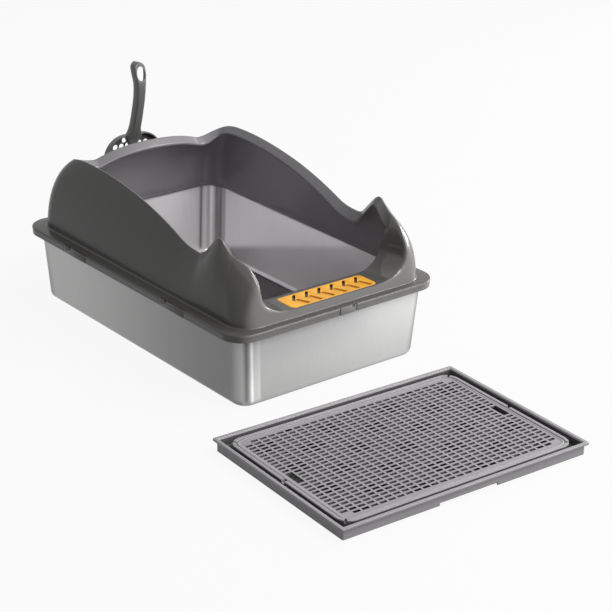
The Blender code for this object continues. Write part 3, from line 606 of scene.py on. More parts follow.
# Shield of moulded plastic, from the skirt over the pan's rim up to the crest
shield = {
    "skirtDrop": 0.0125,
    "wall": 0.0025,
    "flangeCorner": 0.038,
    "edgeBand": 0.0042,  # how high the flange's rounded edge stands over the skirt
    "skirtRecess": 0.0006,
    "edgeRound": 0.0020,
    "sideLedge": 0.0195,
    "frontLedge": 0.014,
    "backLedge": 0.019,
    "baseCorner": 0.036,
    "footRise": 0.0025,
    "footRound": 0.0042,
    "crestRise": 0.137,
    "crestRound": 0.0030,
    "pillarRound": 0.0090,
    "sillRound": 0.0040,
    "lipWidth": 0.012,
    "lipFall": 0.0105,
    "lipTip": 0.003,
    "sillTip": 0.009,
    "sillSkin": 0.006,
    "sillDepth": 0.0555,
    "stepHeight": 0.0065,  # the small step inside the wall's foot
    "stepDepth": 0.0013,
    "wallSamples": 12,
    "bandSamples": 4,
    "edgeRows": (30, 38),  # the rows of a section on the pillars' rounded edge
    "edgePlaces": (0.75, 2.0),
    "bandRows": (34, 45),  # those on the crest's band
    "innerRows": (45, 70),  # those that face into the box
    "pocketGap": 0.0004,
}
shieldLow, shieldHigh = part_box("shield")
flangeTop = shieldLow.z + shield["skirtDrop"]

# Places on the rail: start, end, and how many sections stand between them
stations = ((0, 0.75, 12), (0.75, 1, 10), (1, 2, 64), (2, 2.3, 48), (2.3, 3, 30), (3, 4, 44),
            (4, 4.35, 16), (4.35, 5, 12))

# The crest from the front centre round to the back centre: place on the rail, then
# x, y and height as shares of the half width, the half length and the crest's rise
crestShares = (
    (0, 0, -0.952, 0.1), (0.35, 0.24, -0.952, 0.1), (0.64, 0.416, -0.952, 0.101),
    (0.8, 0.506, -0.952, 0.112), (0.93, 0.57, -0.952, 0.142), (1.06, 0.634, -0.951, 0.2),
    (1.19, 0.681, -0.95, 0.283), (1.31, 0.699, -0.948, 0.375), (1.42, 0.703, -0.942, 0.452),
    (1.51, 0.706, -0.926, 0.524), (1.6, 0.712, -0.9, 0.592), (1.7, 0.724, -0.864, 0.655),
    (1.8, 0.742, -0.817, 0.7), (1.9, 0.759, -0.783, 0.715), (1.99, 0.77, -0.747, 0.736),
    (2.04, 0.775, -0.709, 0.802), (2.07, 0.777, -0.682, 0.855), (2.09, 0.777, -0.66, 0.864),
    (2.12, 0.777, -0.63, 0.826), (2.16, 0.777, -0.576, 0.705), (2.2, 0.777, -0.524, 0.594),
    (2.25, 0.777, -0.465, 0.58), (2.32, 0.777, -0.372, 0.607), (2.4, 0.777, -0.263, 0.696),
    (2.49, 0.777, -0.139, 0.785), (2.59, 0.777, 0.005, 0.868), (2.7, 0.777, 0.159, 0.93),
    (2.81, 0.777, 0.318, 0.974), (2.91, 0.777, 0.467, 0.994), (3.01, 0.777, 0.596, 0.99),
    (3.2, 0.77, 0.677, 0.96), (3.45, 0.737, 0.721, 0.92), (3.75, 0.661, 0.735, 0.884),
    (4, 0.579, 0.735, 0.856), (4.12, 0.515, 0.735, 0.85), (4.24, 0.45, 0.735, 0.876),
    (4.45, 0.337, 0.735, 0.917), (4.72, 0.178, 0.735, 0.946), (5, 0, 0.735, 0.957),
)

# The lip's inner edge: place, then how far in and how far down, as shares of its width and fall
lipShares = (
    (0, 0, 0), (0.4, 0, 0), (0.8, 0.25, 0.05), (1.06, 0.6, 0.1), (1.2, 0.65, 0.12),
    (1.31, 0.56, 0.2), (1.42, 0.5, 0.5), (1.51, 0.38, 0.9), (1.6, 0.28, 1.22), (1.7, 0.27, 1.57),
    (1.8, 0.44, 1.87), (1.9, 0.68, 1.98), (1.99, 0.88, 1.77), (2.08, 1, 1.2), (2.16, 1, 1.43),
    (2.25, 1, 1.52), (2.5, 1, 1.15), (2.8, 1, 1), (5, 1, 1),
)


def railPoint(halfX, front, back, corner, place):
    # a point and its outward direction on the right half of a rounded rectangle
    if place <= 1.0:
        return Vector((place * (halfX - corner), -front, 0.0)), Vector((0.0, -1.0, 0.0))
    if 2.0 < place <= 3.0:
        y = mix(corner - front, back - corner, place - 2.0)
        return Vector((halfX, y, 0.0)), Vector((1.0, 0.0, 0.0))
    if place > 4.0:
        return Vector(((5.0 - place) * (halfX - corner), back, 0.0)), Vector((0.0, 1.0, 0.0))
    angle = radians(90 * (place - (2.0 if place <= 2.0 else 3.0)))
    outward = Vector((cos(angle), sin(angle), 0.0))
    centreY = corner - front if place <= 2.0 else back - corner
    return Vector((halfX - corner, centreY, 0.0)) + outward * corner, outward


def shieldSection(place):
    halfX, halfY, wallThick = shieldHigh.x, shieldHigh.y, shield["wall"]
    underFlange = flangeTop - wallThick

    def level(point, z):
        return Vector((point.x, point.y, z))

    flange, out = railPoint(halfX, halfY, halfY, shield["flangeCorner"], place)
    base, _ = railPoint(halfX - shield["sideLedge"], halfY - shield["frontLedge"],
                        halfY - shield["backLedge"], shield["baseCorner"], place)
    x, y, z = readTable(crestShares, place)
    into, fall = readTable(lipShares, place)
    crest = Vector((x * halfX, y * halfY, flangeTop + z * shield["crestRise"]))
    lip = crest - Vector((0.0, 0.0, shield["lipFall"] * fall))
    if place < 2.0:
        sillBack = crestShares[0][2] * halfY + shield["sillDepth"]
        lip.x -= shield["lipWidth"] * into
        lip.y = max(crest.y, sillBack)
    else:
        lip -= out * shield["lipWidth"] * into
    inward = (lip - crest) * Vector((1.0, 1.0, 0.0))
    inward.normalize()

    deep = 1.0 - ease(1.45, 1.95, place)  # 1 at the sill, 0 past the pillar
    skin = mix(wallThick, shield["sillSkin"], deep)
    tip = mix(shield["lipTip"], shield["sillTip"], deep)
    bow = mix(0.30, 0.85, ease(2.45, 3.05, place))
    bow = mix(bow, 0.85, 1.0 - ease(1.95, 2.40, place)) * ease(0.90, 1.35, place)
    foot = level(base, flangeTop + shield["footRise"])
    upright = level(base, mix(foot.z, crest.z, 0.75))
    pull = ((foot + crest) / 2).lerp(upright, bow)

    def wall(share):
        return foot.lerp(pull, share).lerp(pull.lerp(crest, share), share)

    up = (crest - wall(0.9)).normalized()
    over = (lip - crest).normalized()
    onPillar = ease(0.75, 1.1, place) * (1.0 - ease(1.75, 2.0, place))
    crestRound = mix(mix(shield["crestRound"], shield["sillRound"], deep), shield["pillarRound"], onPillar)
    spread = max(sin(over.angle(-up)), 0.5)
    underCrest = crest + (over * wallThick - up * skin) / spread
    innerTop = max(1.0 - 1.3 * (crest.z - underCrest.z) / (crest.z - foot.z), 0.1)

    skirt = flange - out * shield["skirtRecess"]
    bandFoot = flangeTop - shield["edgeBand"]
    outline = [
        (level(skirt, shieldLow.z), 0.0006, 2),
        (level(skirt, bandFoot - shield["skirtRecess"]), 0.0003, 1),
        (level(flange, bandFoot), 0.0004, 2),
        (level(flange, flangeTop), shield["edgeRound"], 4),
        (level(base, flangeTop), shield["footRound"], 5),
    ]
    samples, bands = shield["wallSamples"], shield["bandSamples"]
    wallEnd, bandStart = mix(0.90, 0.78, onPillar), mix(0.25, 0.70, onPillar)
    outline += [(wall(mix(0.02, wallEnd, k / (samples - 1))), 0, 0) for k in range(samples)]
    outline.append((crest, crestRound, 6, mix(0.48, 0.95, onPillar)))
    outline += [(crest.lerp(lip, mix(bandStart, 0.85, k / (bands - 1))), 0, 0) for k in range(bands)]
    back = lip - inward * wallThick
    outline += [
        (lip, 0.0009, 2),
        (level(lip, lip.z - tip), 0.0004, 1),
        (level(back, lip.z - tip), 0.0004, 1),
        (level(back, lip.z - skin), 0.0005, 1),
        (underCrest, 0.0016, 2),
    ]
    outline += [(wall(mix(0.88, 0.10, k / 7) * innerTop) - out * wallThick, 0, 0) for k in range(8)]
    stepTop, stepDepth = flangeTop + shield["stepHeight"], shield["stepDepth"]
    inner = base - out * wallThick
    step, rim = inner + out * stepDepth, flange - out * wallThick
    outline += [
        (level(inner, stepTop), 0.0003, 1),
        (level(step, stepTop - stepDepth), 0.0003, 1),
        (level(step, flangeTop + wallThick * 0.7), 0.0006, 1),
        (level(base + out * wallThick * 0.6, underFlange), 0.0006, 1),
        (level(rim, underFlange), 0.0010, 2),
        (level(rim, shieldLow.z), 0.0005, 1),
    ]
    return roundOutline(outline)


def makeShield(*plastics):
    # the plastics are the outside's, the inside's, the crest band's and the pillars' edges'; the inside's
    # and the crest band's are lighter copies of the outside's, painted light
    places = [mix(start, end, k / count) for start, end, count in stations for k in range(count)] + [5.0]
    sections = [shieldSection(place) for place in places]
    around = len(sections[0])
    piece = bendGrid("shieldShell", len(sections), around + 1, lambda i, j: sections[i][j % around])
    low, high = shield["edgePlaces"]
    for face in piece.data.polygons:
        row, column = divmod(face.index, len(sections) - 1)
        if row in range(*shield["edgeRows"]) and low <= places[column] < high:
            face.material_index = 3
        elif row in range(*shield["innerRows"]):
            face.material_index = 1
        elif row in range(*shield["bandRows"]):
            face.material_index = 2
    mergeDoubles(piece)
    for vertex in piece.data.vertices:
        if abs(vertex.co.x) < 0.0001:
            vertex.co.x = 0.0
    dress(piece, *plastics)
    modify(piece, "MIRROR", use_axis=(True, False, False), use_clip=True, merge_threshold=0.0001)
    faceOut(piece)
    cutWith(piece, clipNotches())
    low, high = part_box("tread_insert")
    gap = shield["pocketGap"]
    pocket = addBox("pocket", (low.x - gap, low.y - gap, low.z - 0.0003),
                    (high.x + gap, high.y + gap, high.z + 0.02))
    roundUprights(pocket, tread["corner"] + gap, 8)
    cutWith(piece, pocket)
    finishPiece(piece, "upper", "shield", angle=32.0)
    markFront(piece)


# Snap clips in the skirt
clipNames = ["front_clip", "back_clip", "left_front_clip", "left_back_clip",
             "right_front_clip", "right_back_clip"]
clip = {
    "crownDrop": 0.0003,
    "inset": 0.0002,
    "sheet": 0.0026,
    "notchDepth": 0.0034,
    "notchMargin": 0.004,
    "gap": 0.0014,
    "slotWidth": 0.0090,
    "slotHeight": 0.0030,
    "crownRound": 0.0014,
    "round": 0.0004,
}


def clipPlace(name):
    # the clip's box, the axis it lies along, its side of that, and the shield's edge there
    low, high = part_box(name)
    middle = (low + high) / 2
    axis = 0 if abs(middle.y) > abs(middle.x) else 1
    return low, high, axis, copysign(1.0, middle[1 - axis]), shieldHigh[1 - axis]


def sideBox(name, axis, along, across, heights):
    # a box from its spans along the axis, across it and upwards
    spans = (across, along) if axis else (along, across)
    return addBox(name, *zip(*spans, heights))


def clipNotches():
    # boxes that leave each clip free at its sides and back
    gap, margin = clip["gap"], clip["notchMargin"]
    boxes = []
    for name in clipNames:
        low, high, axis, side, edge = clipPlace(name)
        across = sorted((side * (edge - clip["notchDepth"]), side * (edge + margin)))
        boxes.append(sideBox("notch", axis, (low[axis] - gap, high[axis] + gap), across,
                             (low.z - margin, flangeTop + 0.002)))
    return joinPieces(boxes, "notches")


def makeClip(name, plastic):
    low, high, axis, side, edge = clipPlace(name)
    outer = side * (edge - clip["inset"])
    near, far = sorted((outer, outer - side * clip["sheet"]))
    top = flangeTop - clip["crownDrop"]
    piece = sideBox(name + "Tab", axis, (low[axis], high[axis]), (near, far), (low.z, top))
    bevelEdges(piece, lambda edge: middleOf(edge).z > top - 0.0001
               and abs(middleOf(edge)[1 - axis] - outer) < 0.0001, clip["crownRound"], 4)
    # the finger slot at the clip's crown stands a quarter off the middle
    shift = (high[axis] - low[axis]) / 4 * (-1 if side > 0 and axis == 0 else 1)
    middle = (low[axis] + high[axis]) / 2 + shift
    half = clip["slotWidth"] / 2
    cutWith(piece, sideBox("slot", axis, (middle - half, middle + half), (near - 0.01, far + 0.01),
                           (top - clip["slotHeight"], top + 0.01)))
    bevelSharp(piece, clip["round"])
    finishPiece(piece, "clip_" + name.replace("_clip", ""), name, plastic, 40.0)
    markFront(piece)


# Tread let into the sill
tread = {
    "corner": 0.007,
    "edge": 0.0004,
    "chevrons": 6,
    "pitch": 0.0246,
    "shift": 0.0037,
    "lean": 0.0150,
    "margin": 0.0030,
    "slotWidth": 0.0046,
    "slotBlunt": 0.3,  # the round of a slot's ends, as a share of its width
    "grooveWidth": 0.0072,
    "grooveDepth": 0.0015,
    "grooveStart": (0.0068, 0.0030),
    "grooveLean": 0.0085,
    "grooveShade": (0.30, 0.105, 0.006),  # painted shade down in the grooves
    "dark": (0.05, 0.018, 0.004),  # painted shade down in the slots
}


def treadPlastic(name, colour):
    finish = Finish(name, 0.36, **{"Specular IOR Level": gloss["sheen"]})
    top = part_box("tread_insert")[1].z
    _, tone = finish.cloudy(colour, 30.0, 0.95, 1.04)
    # painted shade: brown down in the grooves, nearly black down in the slots
    tone = finish.blend(finish.z.band(top - 0.0002, top - 0.0011), tone, paint(1.0, tread["grooveShade"]))
    tone = finish.blend(finish.z.band(top - 0.0014, top - 0.0022), tone, paint(1.0, tread["dark"]))
    finish.feed("Base Color", tone)
    finish.grain(0.1, 0.10, 0.40)
    return finish.material


def addBar(name, start, end, width, low, high):
    # an upright bar between two places on the tread
    along, middle = end - start, (start + end) / 2
    half = Vector((along.length / 2, width / 2))
    bar = addBox(name, (-half.x, -half.y, low), (half.x, half.y, high))
    return turnTo(bar, atan2(along.y, along.x), (middle.x, middle.y, 0.0))


def makeTread(amber):
    low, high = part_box("tread_insert")
    middle = (low + high) / 2
    piece = addBox("treadPlate", low, high)
    roundUprights(piece, tread["corner"], 8)
    arm = (high.y - low.y) / 2 - tread["margin"]
    above = high.z + 0.002
    slots, grooves = [], []
    for k in range(tread["chevrons"]):
        x = middle.x + (k - (tread["chevrons"] - 1) / 2) * tread["pitch"] + tread["shift"]
        top = Vector((x + tread["lean"] / 2, middle.y + arm))
        tip = Vector((x - tread["lean"] / 2, middle.y))
        slot = addBar("slot", top, tip, tread["slotWidth"], low.z - 0.002, above)
        roundUprights(slot, tread["slotWidth"] * tread["slotBlunt"], 4)
        slots.append(slot)
        start = tip + Vector(tread["grooveStart"])
        end = Vector((start.x + tread["grooveLean"], middle.y - arm))
        grooves.append(addBar("groove", start, end, tread["grooveWidth"],
                              high.z - tread["grooveDepth"], above))
    cutWith(piece, joinPieces(slots, "slots"))
    cutWith(piece, joinPieces(grooves, "grooves"))
    bevelSharp(piece, tread["edge"], 40.0)
    finishPiece(piece, "tread", "tread_insert", amber, 40.0)


# Scoop: a sifting basket, and a handle of channel section with an eye to hang it by
scoop = {
    "wall": 0.0022,
    "width": 0.112,
    "height": 0.129,
    "shoulder": 0.040,
    "topDepth": 0.0125,
    "toeDepth": 0.005,
    "fillet": 0.004,
    "filletSteps": 5,
    "hole": 0.0108,
    "web": 0.0018,
    "margin": 0.0042,
    "handleRoot": 0.030,
    "handleLength": 0.166,
    "handleReach": 0.0414,
    "handleHalf": 0.0084,
    "handleDepth": 0.0155,
    "handleSkin": 0.0024,
    "handleRound": 0.0034,
    "headStart": 0.93,
    "eyeWidth": 0.0170,
    "eyeLength": 0.0250,
    "eyeShare": 0.885,
    "edge": 0.0004,
}

# Up the handle: height, then reach towards the box, half width, depth on the left
# and depth on the right, as shares of the handle's own sizes
handleShares = (
    (0, 0.24, 0.7, 0.4, 0.4), (0.07, 0.26, 0.95, 0.42, 0.42), (0.127, 0.29, 1.6, 0.46, 0.46),
    (0.169, 0.36, 1.95, 0.6, 0.6), (0.223, 0.47, 1.38, 0.85, 0.8), (0.265, 0.54, 1.1, 0.95, 0.82),
    (0.3, 0.6, 1.02, 1, 0.8), (0.36, 0.68, 1, 1, 0.77), (0.44, 0.77, 0.98, 1, 0.7),
    (0.63, 0.95, 0.98, 1, 0.6), (0.775, 1, 1.06, 1, 0.5), (0.87, 0.95, 1.3, 1, 0.42),
    (0.93, 0.89, 1.36, 0.98, 0.4), (1, 0.8, 1.36, 0.94, 0.4),
)


def handleLoops(skin, openBack):
    # sections up the handle; with a skin they give the channel inside it
    length, depth = scoop["handleLength"], scoop["handleDepth"]
    start = scoop["headStart"]
    head = (1.0 - start) * length - skin
    stops = [(k / 28 * start, 0.0) for k in range(29)]
    for k in range(1, 10):
        angle = radians(84 * k / 9)  # over the domed head
        stops.append((start + head * sin(angle) / length, angle))
    loops = []
    for k, (share, angle) in enumerate(stops):
        reach, half, left, right = readTable(handleShares, share)
        half = (half * scoop["handleHalf"] - skin) * cos(angle)
        front = -reach * scoop["handleReach"] + skin
        if openBack:
            left = right = 2.0
        z = scoop["height"] - scoop["handleRoot"] + share * length
        if openBack and k == 0:
            z -= 0.004
        corner, blunt = min(scoop["handleRound"], half * 0.9), min(0.0010, half * 0.4)
        loops.append(roundOutline([(Vector((-half, front, z)), corner, 5),
                                   (Vector((half, front, z)), corner, 5),
                                   (Vector((half, front + right * depth, z)), blunt, 2),
                                   (Vector((-half, front + left * depth, z)), blunt, 2)]))
    return loops


def basketOutline(inset, depthShare, rise=0.0):
    half = scoop["width"] / 2 - inset
    top = scoop["height"] - inset
    radius = scoop["shoulder"] - inset
    places = [(-half, top * share) for share in (0.0, 0.2, 0.4)]
    for start, side in ((180, -1), (90, 1)):
        for step in range(11):
            angle = radians(start - 9 * step)
            places.append((side * (half - radius) + radius * cos(angle),
                           top - radius + radius * sin(angle)))
    places += [(half, top * share) for share in (0.4, 0.2, 0.0)]
    return [Vector((x, -rise - depthShare * mix(scoop["toeDepth"], scoop["topDepth"],
                                                z / scoop["height"]), z)) for x, z in places]


def copyTo(piece, offset):
    twin = piece.copy()
    twin.data = piece.data.copy()
    bpy.context.collection.objects.link(twin)
    twin.location = offset
    return twin


def roundCutter(name, width, height, depth, sides):
    # a round bar that lies along Y, at the origin
    deselect()
    bpy.ops.mesh.primitive_cylinder_add(vertices=sides, radius=0.5, depth=1.0,
                                        rotation=(radians(90), 0.0, 0.0))
    bar = latest(name)
    bar.scale = (width, height, depth)
    settle(bar)
    return bar


def siftHoles():
    # a honeycomb of places that stay clear of the basket's edge
    pitch, half, margin = scoop["hole"] + scoop["web"], scoop["hole"] / 2, scoop["margin"]
    rowPitch = pitch * sqrt(3) / 2
    halfWidth, height, shoulder = scoop["width"] / 2, scoop["height"], scoop["shoulder"]
    top = height - margin - half
    places = []
    for row in range(int((top - margin) / rowPitch) + 1):
        z = top - row * rowPitch
        for column in range(-5, 6):
            x = (column + (0.5 if row % 2 else 0.0)) * pitch
            cornerX = max(abs(x) - (halfWidth - shoulder), 0.0)
            cornerZ = max(z - (height - shoulder), 0.0)
            clear = shoulder - hypot(cornerX, cornerZ) - half
            if cornerZ == 0.0:
                clear = halfWidth - abs(x) - half
            if clear > margin - 0.001 and z - half > margin:
                places.append((x, 0.0, z))
    return places


def makeScoop(plastic):
    low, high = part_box("scoop")
    wall, height = scoop["wall"], scoop["height"]
    loops = [basketOutline(inset, 0.0, rise)
             for inset, rise in quarterRound(scoop["fillet"], scoop["filletSteps"])]
    loops += [basketOutline(0.0, share) for share in (0.55, 1.0)]
    basket = bendGrid("scoopBody", len(loops[0]), len(loops), lambda i, j: loops[j][i])
    editMesh(basket, bpy.ops.mesh.edge_face_add, "VERT", lambda vertex: vertex.co.y > -0.00001)
    alignNormals(basket, (0, 1, 0))
    modify(basket, "SOLIDIFY", thickness=wall, offset=1.0, use_even_offset=True)
    for vertex in basket.data.vertices:
        vertex.co.y = min(vertex.co.y, wall)
    sample = roundCutter("siftHole", scoop["hole"], scoop["hole"], 0.012, 12)
    cutters = [copyTo(sample, place) for place in siftHoles()]
    bpy.data.objects.remove(sample, do_unlink=True)
    holes = joinPieces(cutters, "siftHoles")
    settle(holes)
    cutWith(basket, holes)

    handle = solidLoops("scoopHandle", handleLoops(0.0, False))
    cutWith(handle, solidLoops("channel", handleLoops(scoop["handleSkin"], True)))
    eye = roundCutter("eye", scoop["eyeWidth"], scoop["eyeLength"], 0.03, 32)
    rise = height - scoop["handleRoot"] + scoop["handleLength"] * scoop["eyeShare"]
    cutWith(handle, turnTo(eye, 0.0, (0.0, -scoop["handleReach"] * 0.93, rise)))
    bevelSharp(handle, scoop["edge"], 50.0)
    cutWith(basket, handle, "UNION")
    basket.location = ((low.x + high.x) / 2, high.y - wall, low.z)
    finishPiece(basket, "scoop", "scoop", plastic)


# Holder: a pocket with a hook, behind the box
holder = {
    "wall": 0.0020,
    "corner": 0.006,
    "footRound": 0.0025,
    "mouthRound": 0.0008,
    "floorInset": 0.010,
    "hookRound": 0.0006,
    "hookHalf": 0.025,
    "hookReach": 0.0103,
    "hookRise": 0.0003,
    "gap": 0.0003,
}


def makeHolder(plastic):
    low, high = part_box("scoop_holder")
    pocketLow = shieldHigh.y + holder["gap"]
    middle = Vector(((low.x + high.x) / 2, (pocketLow + high.y) / 2, 0.0))
    wall, corner, inset = holder["wall"], holder["corner"], holder["floorInset"]
    footRound, mouthRound = holder["footRound"], holder["mouthRound"]
    piece = solidProfile("holderPocket", (high.x - low.x) / 2, (high.y - pocketLow) / 2, 8, (
        (inset, low.z, 0.0005, 0, 0),
        (0.0, low.z, corner, footRound, 5),
        (0.0, high.z, corner, mouthRound, 3),
        (wall, high.z, corner - wall, mouthRound, 3),
        (wall, low.z + wall, corner - wall, footRound * 0.7, 4),
        (inset, low.z + wall, 0.0005, 0, 0),
    ))
    turnTo(piece, 0.0, middle)
    hookLow = flangeTop + holder["hookRise"]
    hook = addBox("hook", (middle.x - holder["hookHalf"], pocketLow - holder["hookReach"], hookLow),
                  (middle.x + holder["hookHalf"], pocketLow + wall / 2, hookLow + wall))
    modify(hook, "BEVEL", width=holder["hookRound"], segments=2)
    cutWith(piece, hook, "UNION")
    finishPiece(piece, "upper", "scoop_holder", plastic)


# Drain tray: a base with a rim, a channel and a ring, on the floor in front
tray = {
    "halfLong": 0.222,
    "halfShort": 0.156,
    "turn": -3.05,  # degrees
    "height": 0.020,
    "underside": 0.002,
    "deck": 0.0055,
    "skirt": 0.0045,
    "wall": 0.0070,
    "rim": 0.0058,
    "rimUnder": 0.0165,
    "edge": 0.0009,
    "corner": 0.0024,
    "ring": 0.0145,
    "ringTop": 0.0175,
    "shelf": 0.0205,
    "shelfTop": 0.013,
    "floor": 0.0275,
    "ringCorner": 0.022,
    "ringGap": 0.007,
    "cornerSlot": 0.0035,
    "notchHalf": 0.0525,
    "notchHeight": 0.005,
    "cutTop": 0.03,
    "shadeBelow": 0.0125,  # painted shade: the channel and the deck under the grate are darker
    "shadeTone": 0.060,
}


def placeTray(piece):
    low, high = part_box("tray_base")
    middle = (low + high) / 2
    turnTo(piece, radians(tray["turn"]), (middle.x, middle.y, 0.0))


def makeTrayBase(plastic):
    halfLong, halfShort, top = tray["halfLong"], tray["halfShort"], tray["height"]
    wall, skirt, deck, edge = tray["wall"], tray["skirt"], tray["deck"], tray["edge"]
    ring, shelf, shelfTop, floor = tray["ring"], tray["shelf"], tray["shelfTop"], tray["floor"]
    corner, inner = tray["corner"], tray["ringCorner"]
    hollow = inner - (shelf - ring)
    piece = solidProfile("trayBody", halfLong, halfShort, 12, (
        (wall, tray["underside"], corner, 0, 0),
        (wall, 0.0, corner, 0, 0),
        (skirt, 0.0, corner, 0.0005, 1),
        (skirt, tray["rimUnder"], corner, 0.0004, 1),
        (0.0, tray["rimUnder"], corner, 0.0006, 2),
        (0.0, top, corner, edge, 3),
        (tray["rim"], top, corner, edge, 3),
        (wall, top - 0.0022, corner, 0.0006, 2),
        (wall, deck, corner, 0.0012, 2),
        (ring, deck, inner, 0.0012, 2),
        (ring, tray["ringTop"], inner, 0.0016, 4),
        (shelf, tray["ringTop"], hollow, 0.0016, 4),
        (shelf, shelfTop, hollow, 0.0005, 1),
        (floor, shelfTop, hollow, 0.0005, 1),
        (floor, deck, hollow, 0, 0),
    ))
    dress(piece, plastic, mouldedPlastic("greyTrayShaded", (tray["shadeTone"],) * 3, 0.5))
    # faces low inside the rim take the darker copy, painted shade
    for face in piece.data.polygons:
        x, y, z = face.center
        inside = max(abs(x) - halfLong, abs(y) - halfShort) < 0.0005 - wall
        face.material_index = int(inside and z < tray["shadeBelow"])
    cutters = []
    gap, slot = tray["ringGap"] / 2, tray["cornerSlot"] / 2
    for side in (-1, 1):
        near, far = sorted((side * (halfShort - wall - 0.001), side * (halfShort + 0.01)))
        cutters.append(addBox("notch", (-tray["notchHalf"], near, -0.01),
                              (tray["notchHalf"], far, tray["notchHeight"])))
        box = addBox("gap", (ring - 0.0032 - halfLong, -gap, shelfTop),
                     (shelf - halfLong + 0.003, gap, tray["cutTop"]))
        cutters.append(turnTo(box, radians(0 if side < 0 else 180)))
    for sideX in (-1, 1):
        for sideY in (-1, 1):
            box = addBox("slot", (0.012, -slot, shelfTop), (inner + 0.004, slot, tray["cutTop"]))
            cutters.append(turnTo(box, atan2(sideY, sideX), (
                sideX * (halfLong - ring - inner), sideY * (halfShort - ring - inner), 0.0)))
    cutWith(piece, joinPieces(cutters, "trayCutters"))
    placeTray(piece)
    finishPiece(piece, "tray", "tray_base")


# Grate: a plate with rows of drain slots, a bead round its edge and two finger slots
grate = {
    "halfLong": 0.2007,
    "halfShort": 0.1352,
    "low": 0.0133,
    "high": 0.0163,
    "corner": 0.0152,
    "columns": 26,
    "rows": 28,
    "fieldHalfLong": 0.1932,
    "fieldHalfShort": 0.1243,
    "barLong": 0.0034,
    "barShort": 0.0035,
    "fingerRows": 4,
    "beadHeight": 0.0008,
    "beadInsets": (0.0, 0.0006, 0.0012, 0.0020, 0.0028, 0.0034, 0.0040),
    "rimStep": 0.0026,  # between grid lines on the rim, as long as rimRoom is left
    "rimRoom": 0.0032,
    "edge": 0.0004,
}
# Painted shade: the slots look nearly black in groups, over the deck's ribs
grateShadeGroups = {
    "pitchLong": 0.0557,
    "pitchShort": 0.0365,
    "shift": 0.011,
    "from": 0.42,
    "to": 0.58,
    "wallShade": 0.08,
    "groupShade": 0.004,
}


def gratePlastic(name, colour):
    # painted shade: the slots' walls are darker than the top
    finish = Finish(name, 0.42, **{"Specular IOR Level": gloss["sheen"]})
    low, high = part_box("tray_base")
    middle = (low + high) / 2
    turn = radians(-tray["turn"])
    shift = Matrix.Rotation(turn, 3, "Z") @ Vector((-middle.x, -middle.y, 0.0))
    x, y, _ = finish.place.node("ShaderNodeMapping", None, {
        "Vector": finish.place, "Location": shift, "Rotation": (0.0, 0.0, turn)}).split()
    waveX = x.maths("COSINE", x * (pi / grateShadeGroups["pitchLong"]))
    waveY = x.maths("COSINE", (y + grateShadeGroups["shift"]) * (pi / grateShadeGroups["pitchShort"]))
    group = (waveX * waveY).band(grateShadeGroups["from"], grateShadeGroups["to"])
    deep = finish.z.band(grate["high"] - 0.0002, grate["high"] - 0.0006)
    _, top = finish.cloudy(colour, 14.0, 0.95, 1.05)
    wall = finish.blend(group, paint(grateShadeGroups["wallShade"]), paint(grateShadeGroups["groupShade"]))
    finish.feed("Base Color", finish.blend(deep, top, wall))
    finish.grain(0.1, 0.12, 0.42)
    return finish.material


def slotLines(half, fieldHalf, count, bar):
    # grid lines from one edge to the other; the slots lie between every second pair
    rims = list(grate["beadInsets"])
    while half - fieldHalf - rims[-1] > grate["rimRoom"]:
        rims.append(rims[-1] + grate["rimStep"])
    pitch = (2 * fieldHalf + bar) / count
    lines = [inset - half for inset in rims]
    starts = []
    for k in range(count):
        left = k * pitch - fieldHalf
        starts.append(len(lines))
        lines += [left, left + pitch - bar]
    lines += [half - inset for inset in reversed(rims)]
    return lines, starts


def makeGrate(plastic):
    halfX, halfY, corner = grate["halfLong"], grate["halfShort"], grate["corner"]
    xs, columns = slotLines(halfX, grate["fieldHalfLong"], grate["columns"], grate["barLong"])
    ys, rows = slotLines(halfY, grate["fieldHalfShort"], grate["rows"], grate["barShort"])
    bead = grate["beadInsets"][-1]

    def placeAt(i, j):
        x, y = xs[i], ys[j]
        overX, overY = abs(x) - (halfX - corner), abs(y) - (halfY - corner)
        inset = min(halfX - abs(x), halfY - abs(y))
        if overX > 0 and overY > 0:
            outward = Vector((overX, overY)).normalized() * max(overX, overY)
            x = copysign(halfX - corner + outward.x, x)
            y = copysign(halfY - corner + outward.y, y)
        lift = sin(pi * inset / bead) if inset < bead else 0.0
        return Vector((x, y, grate["high"] + grate["beadHeight"] * lift))

    piece = bendGrid("gratePlate", len(xs), len(ys), placeAt)
    first = (grate["rows"] - grate["fingerRows"]) // 2
    fingers = range(rows[first], rows[first + grate["fingerRows"] - 1] + 1)

    def isOpening(face):
        row, column = divmod(face.index, len(xs) - 1)
        if column in (columns[0], columns[-1]):
            return row in fingers or row in rows[1:-1]
        return column in columns and row in rows

    editMesh(piece, bpy.ops.mesh.delete, "FACE", isOpening, type="FACE")
    alignNormals(piece, (0, 0, 1))
    modify(piece, "SOLIDIFY", thickness=grate["high"] - grate["low"], offset=-1.0)
    bevelSharp(piece, grate["edge"], 60.0, 1)
    placeTray(piece)
    finishPiece(piece, "grate", "tray_grate", plastic)


# Studio: a plain pale floor, soft lamps and an even sky
studio = {
    "floorHalf": 9.0,
    "floorDrop": 0.0004,
    "floorTone": 0.32,
    "whiteShare": 0.92,
    "sky": 0.50,
    "aim": (0.0, -0.1, 0.1),
}
lamps = (
    # name, place, size, power, colour
    ("keyLamp", (2.1, -1.25, 2.7), (1.2, 1.2), 105.0, (1.0, 0.995, 0.985)),
    ("frontLamp", (0.3, -2.3, 2.2), (1.4, 1.4), 72.0, (1.0, 1.0, 1.0)),
    ("lowLamp", (1.3, -2.6, 0.8), (1.2, 0.7), 24.0, (1.0, 1.0, 1.0)),
    ("edgeLamp", (2.6, 0.2, 1.25), (0.5, 1.2), 25.0, (1.0, 1.0, 1.0)),
    ("rightLamp", (3.1, -0.3, 0.55), (1.3, 0.7), 60.0, (1.0, 0.99, 0.98)),
)


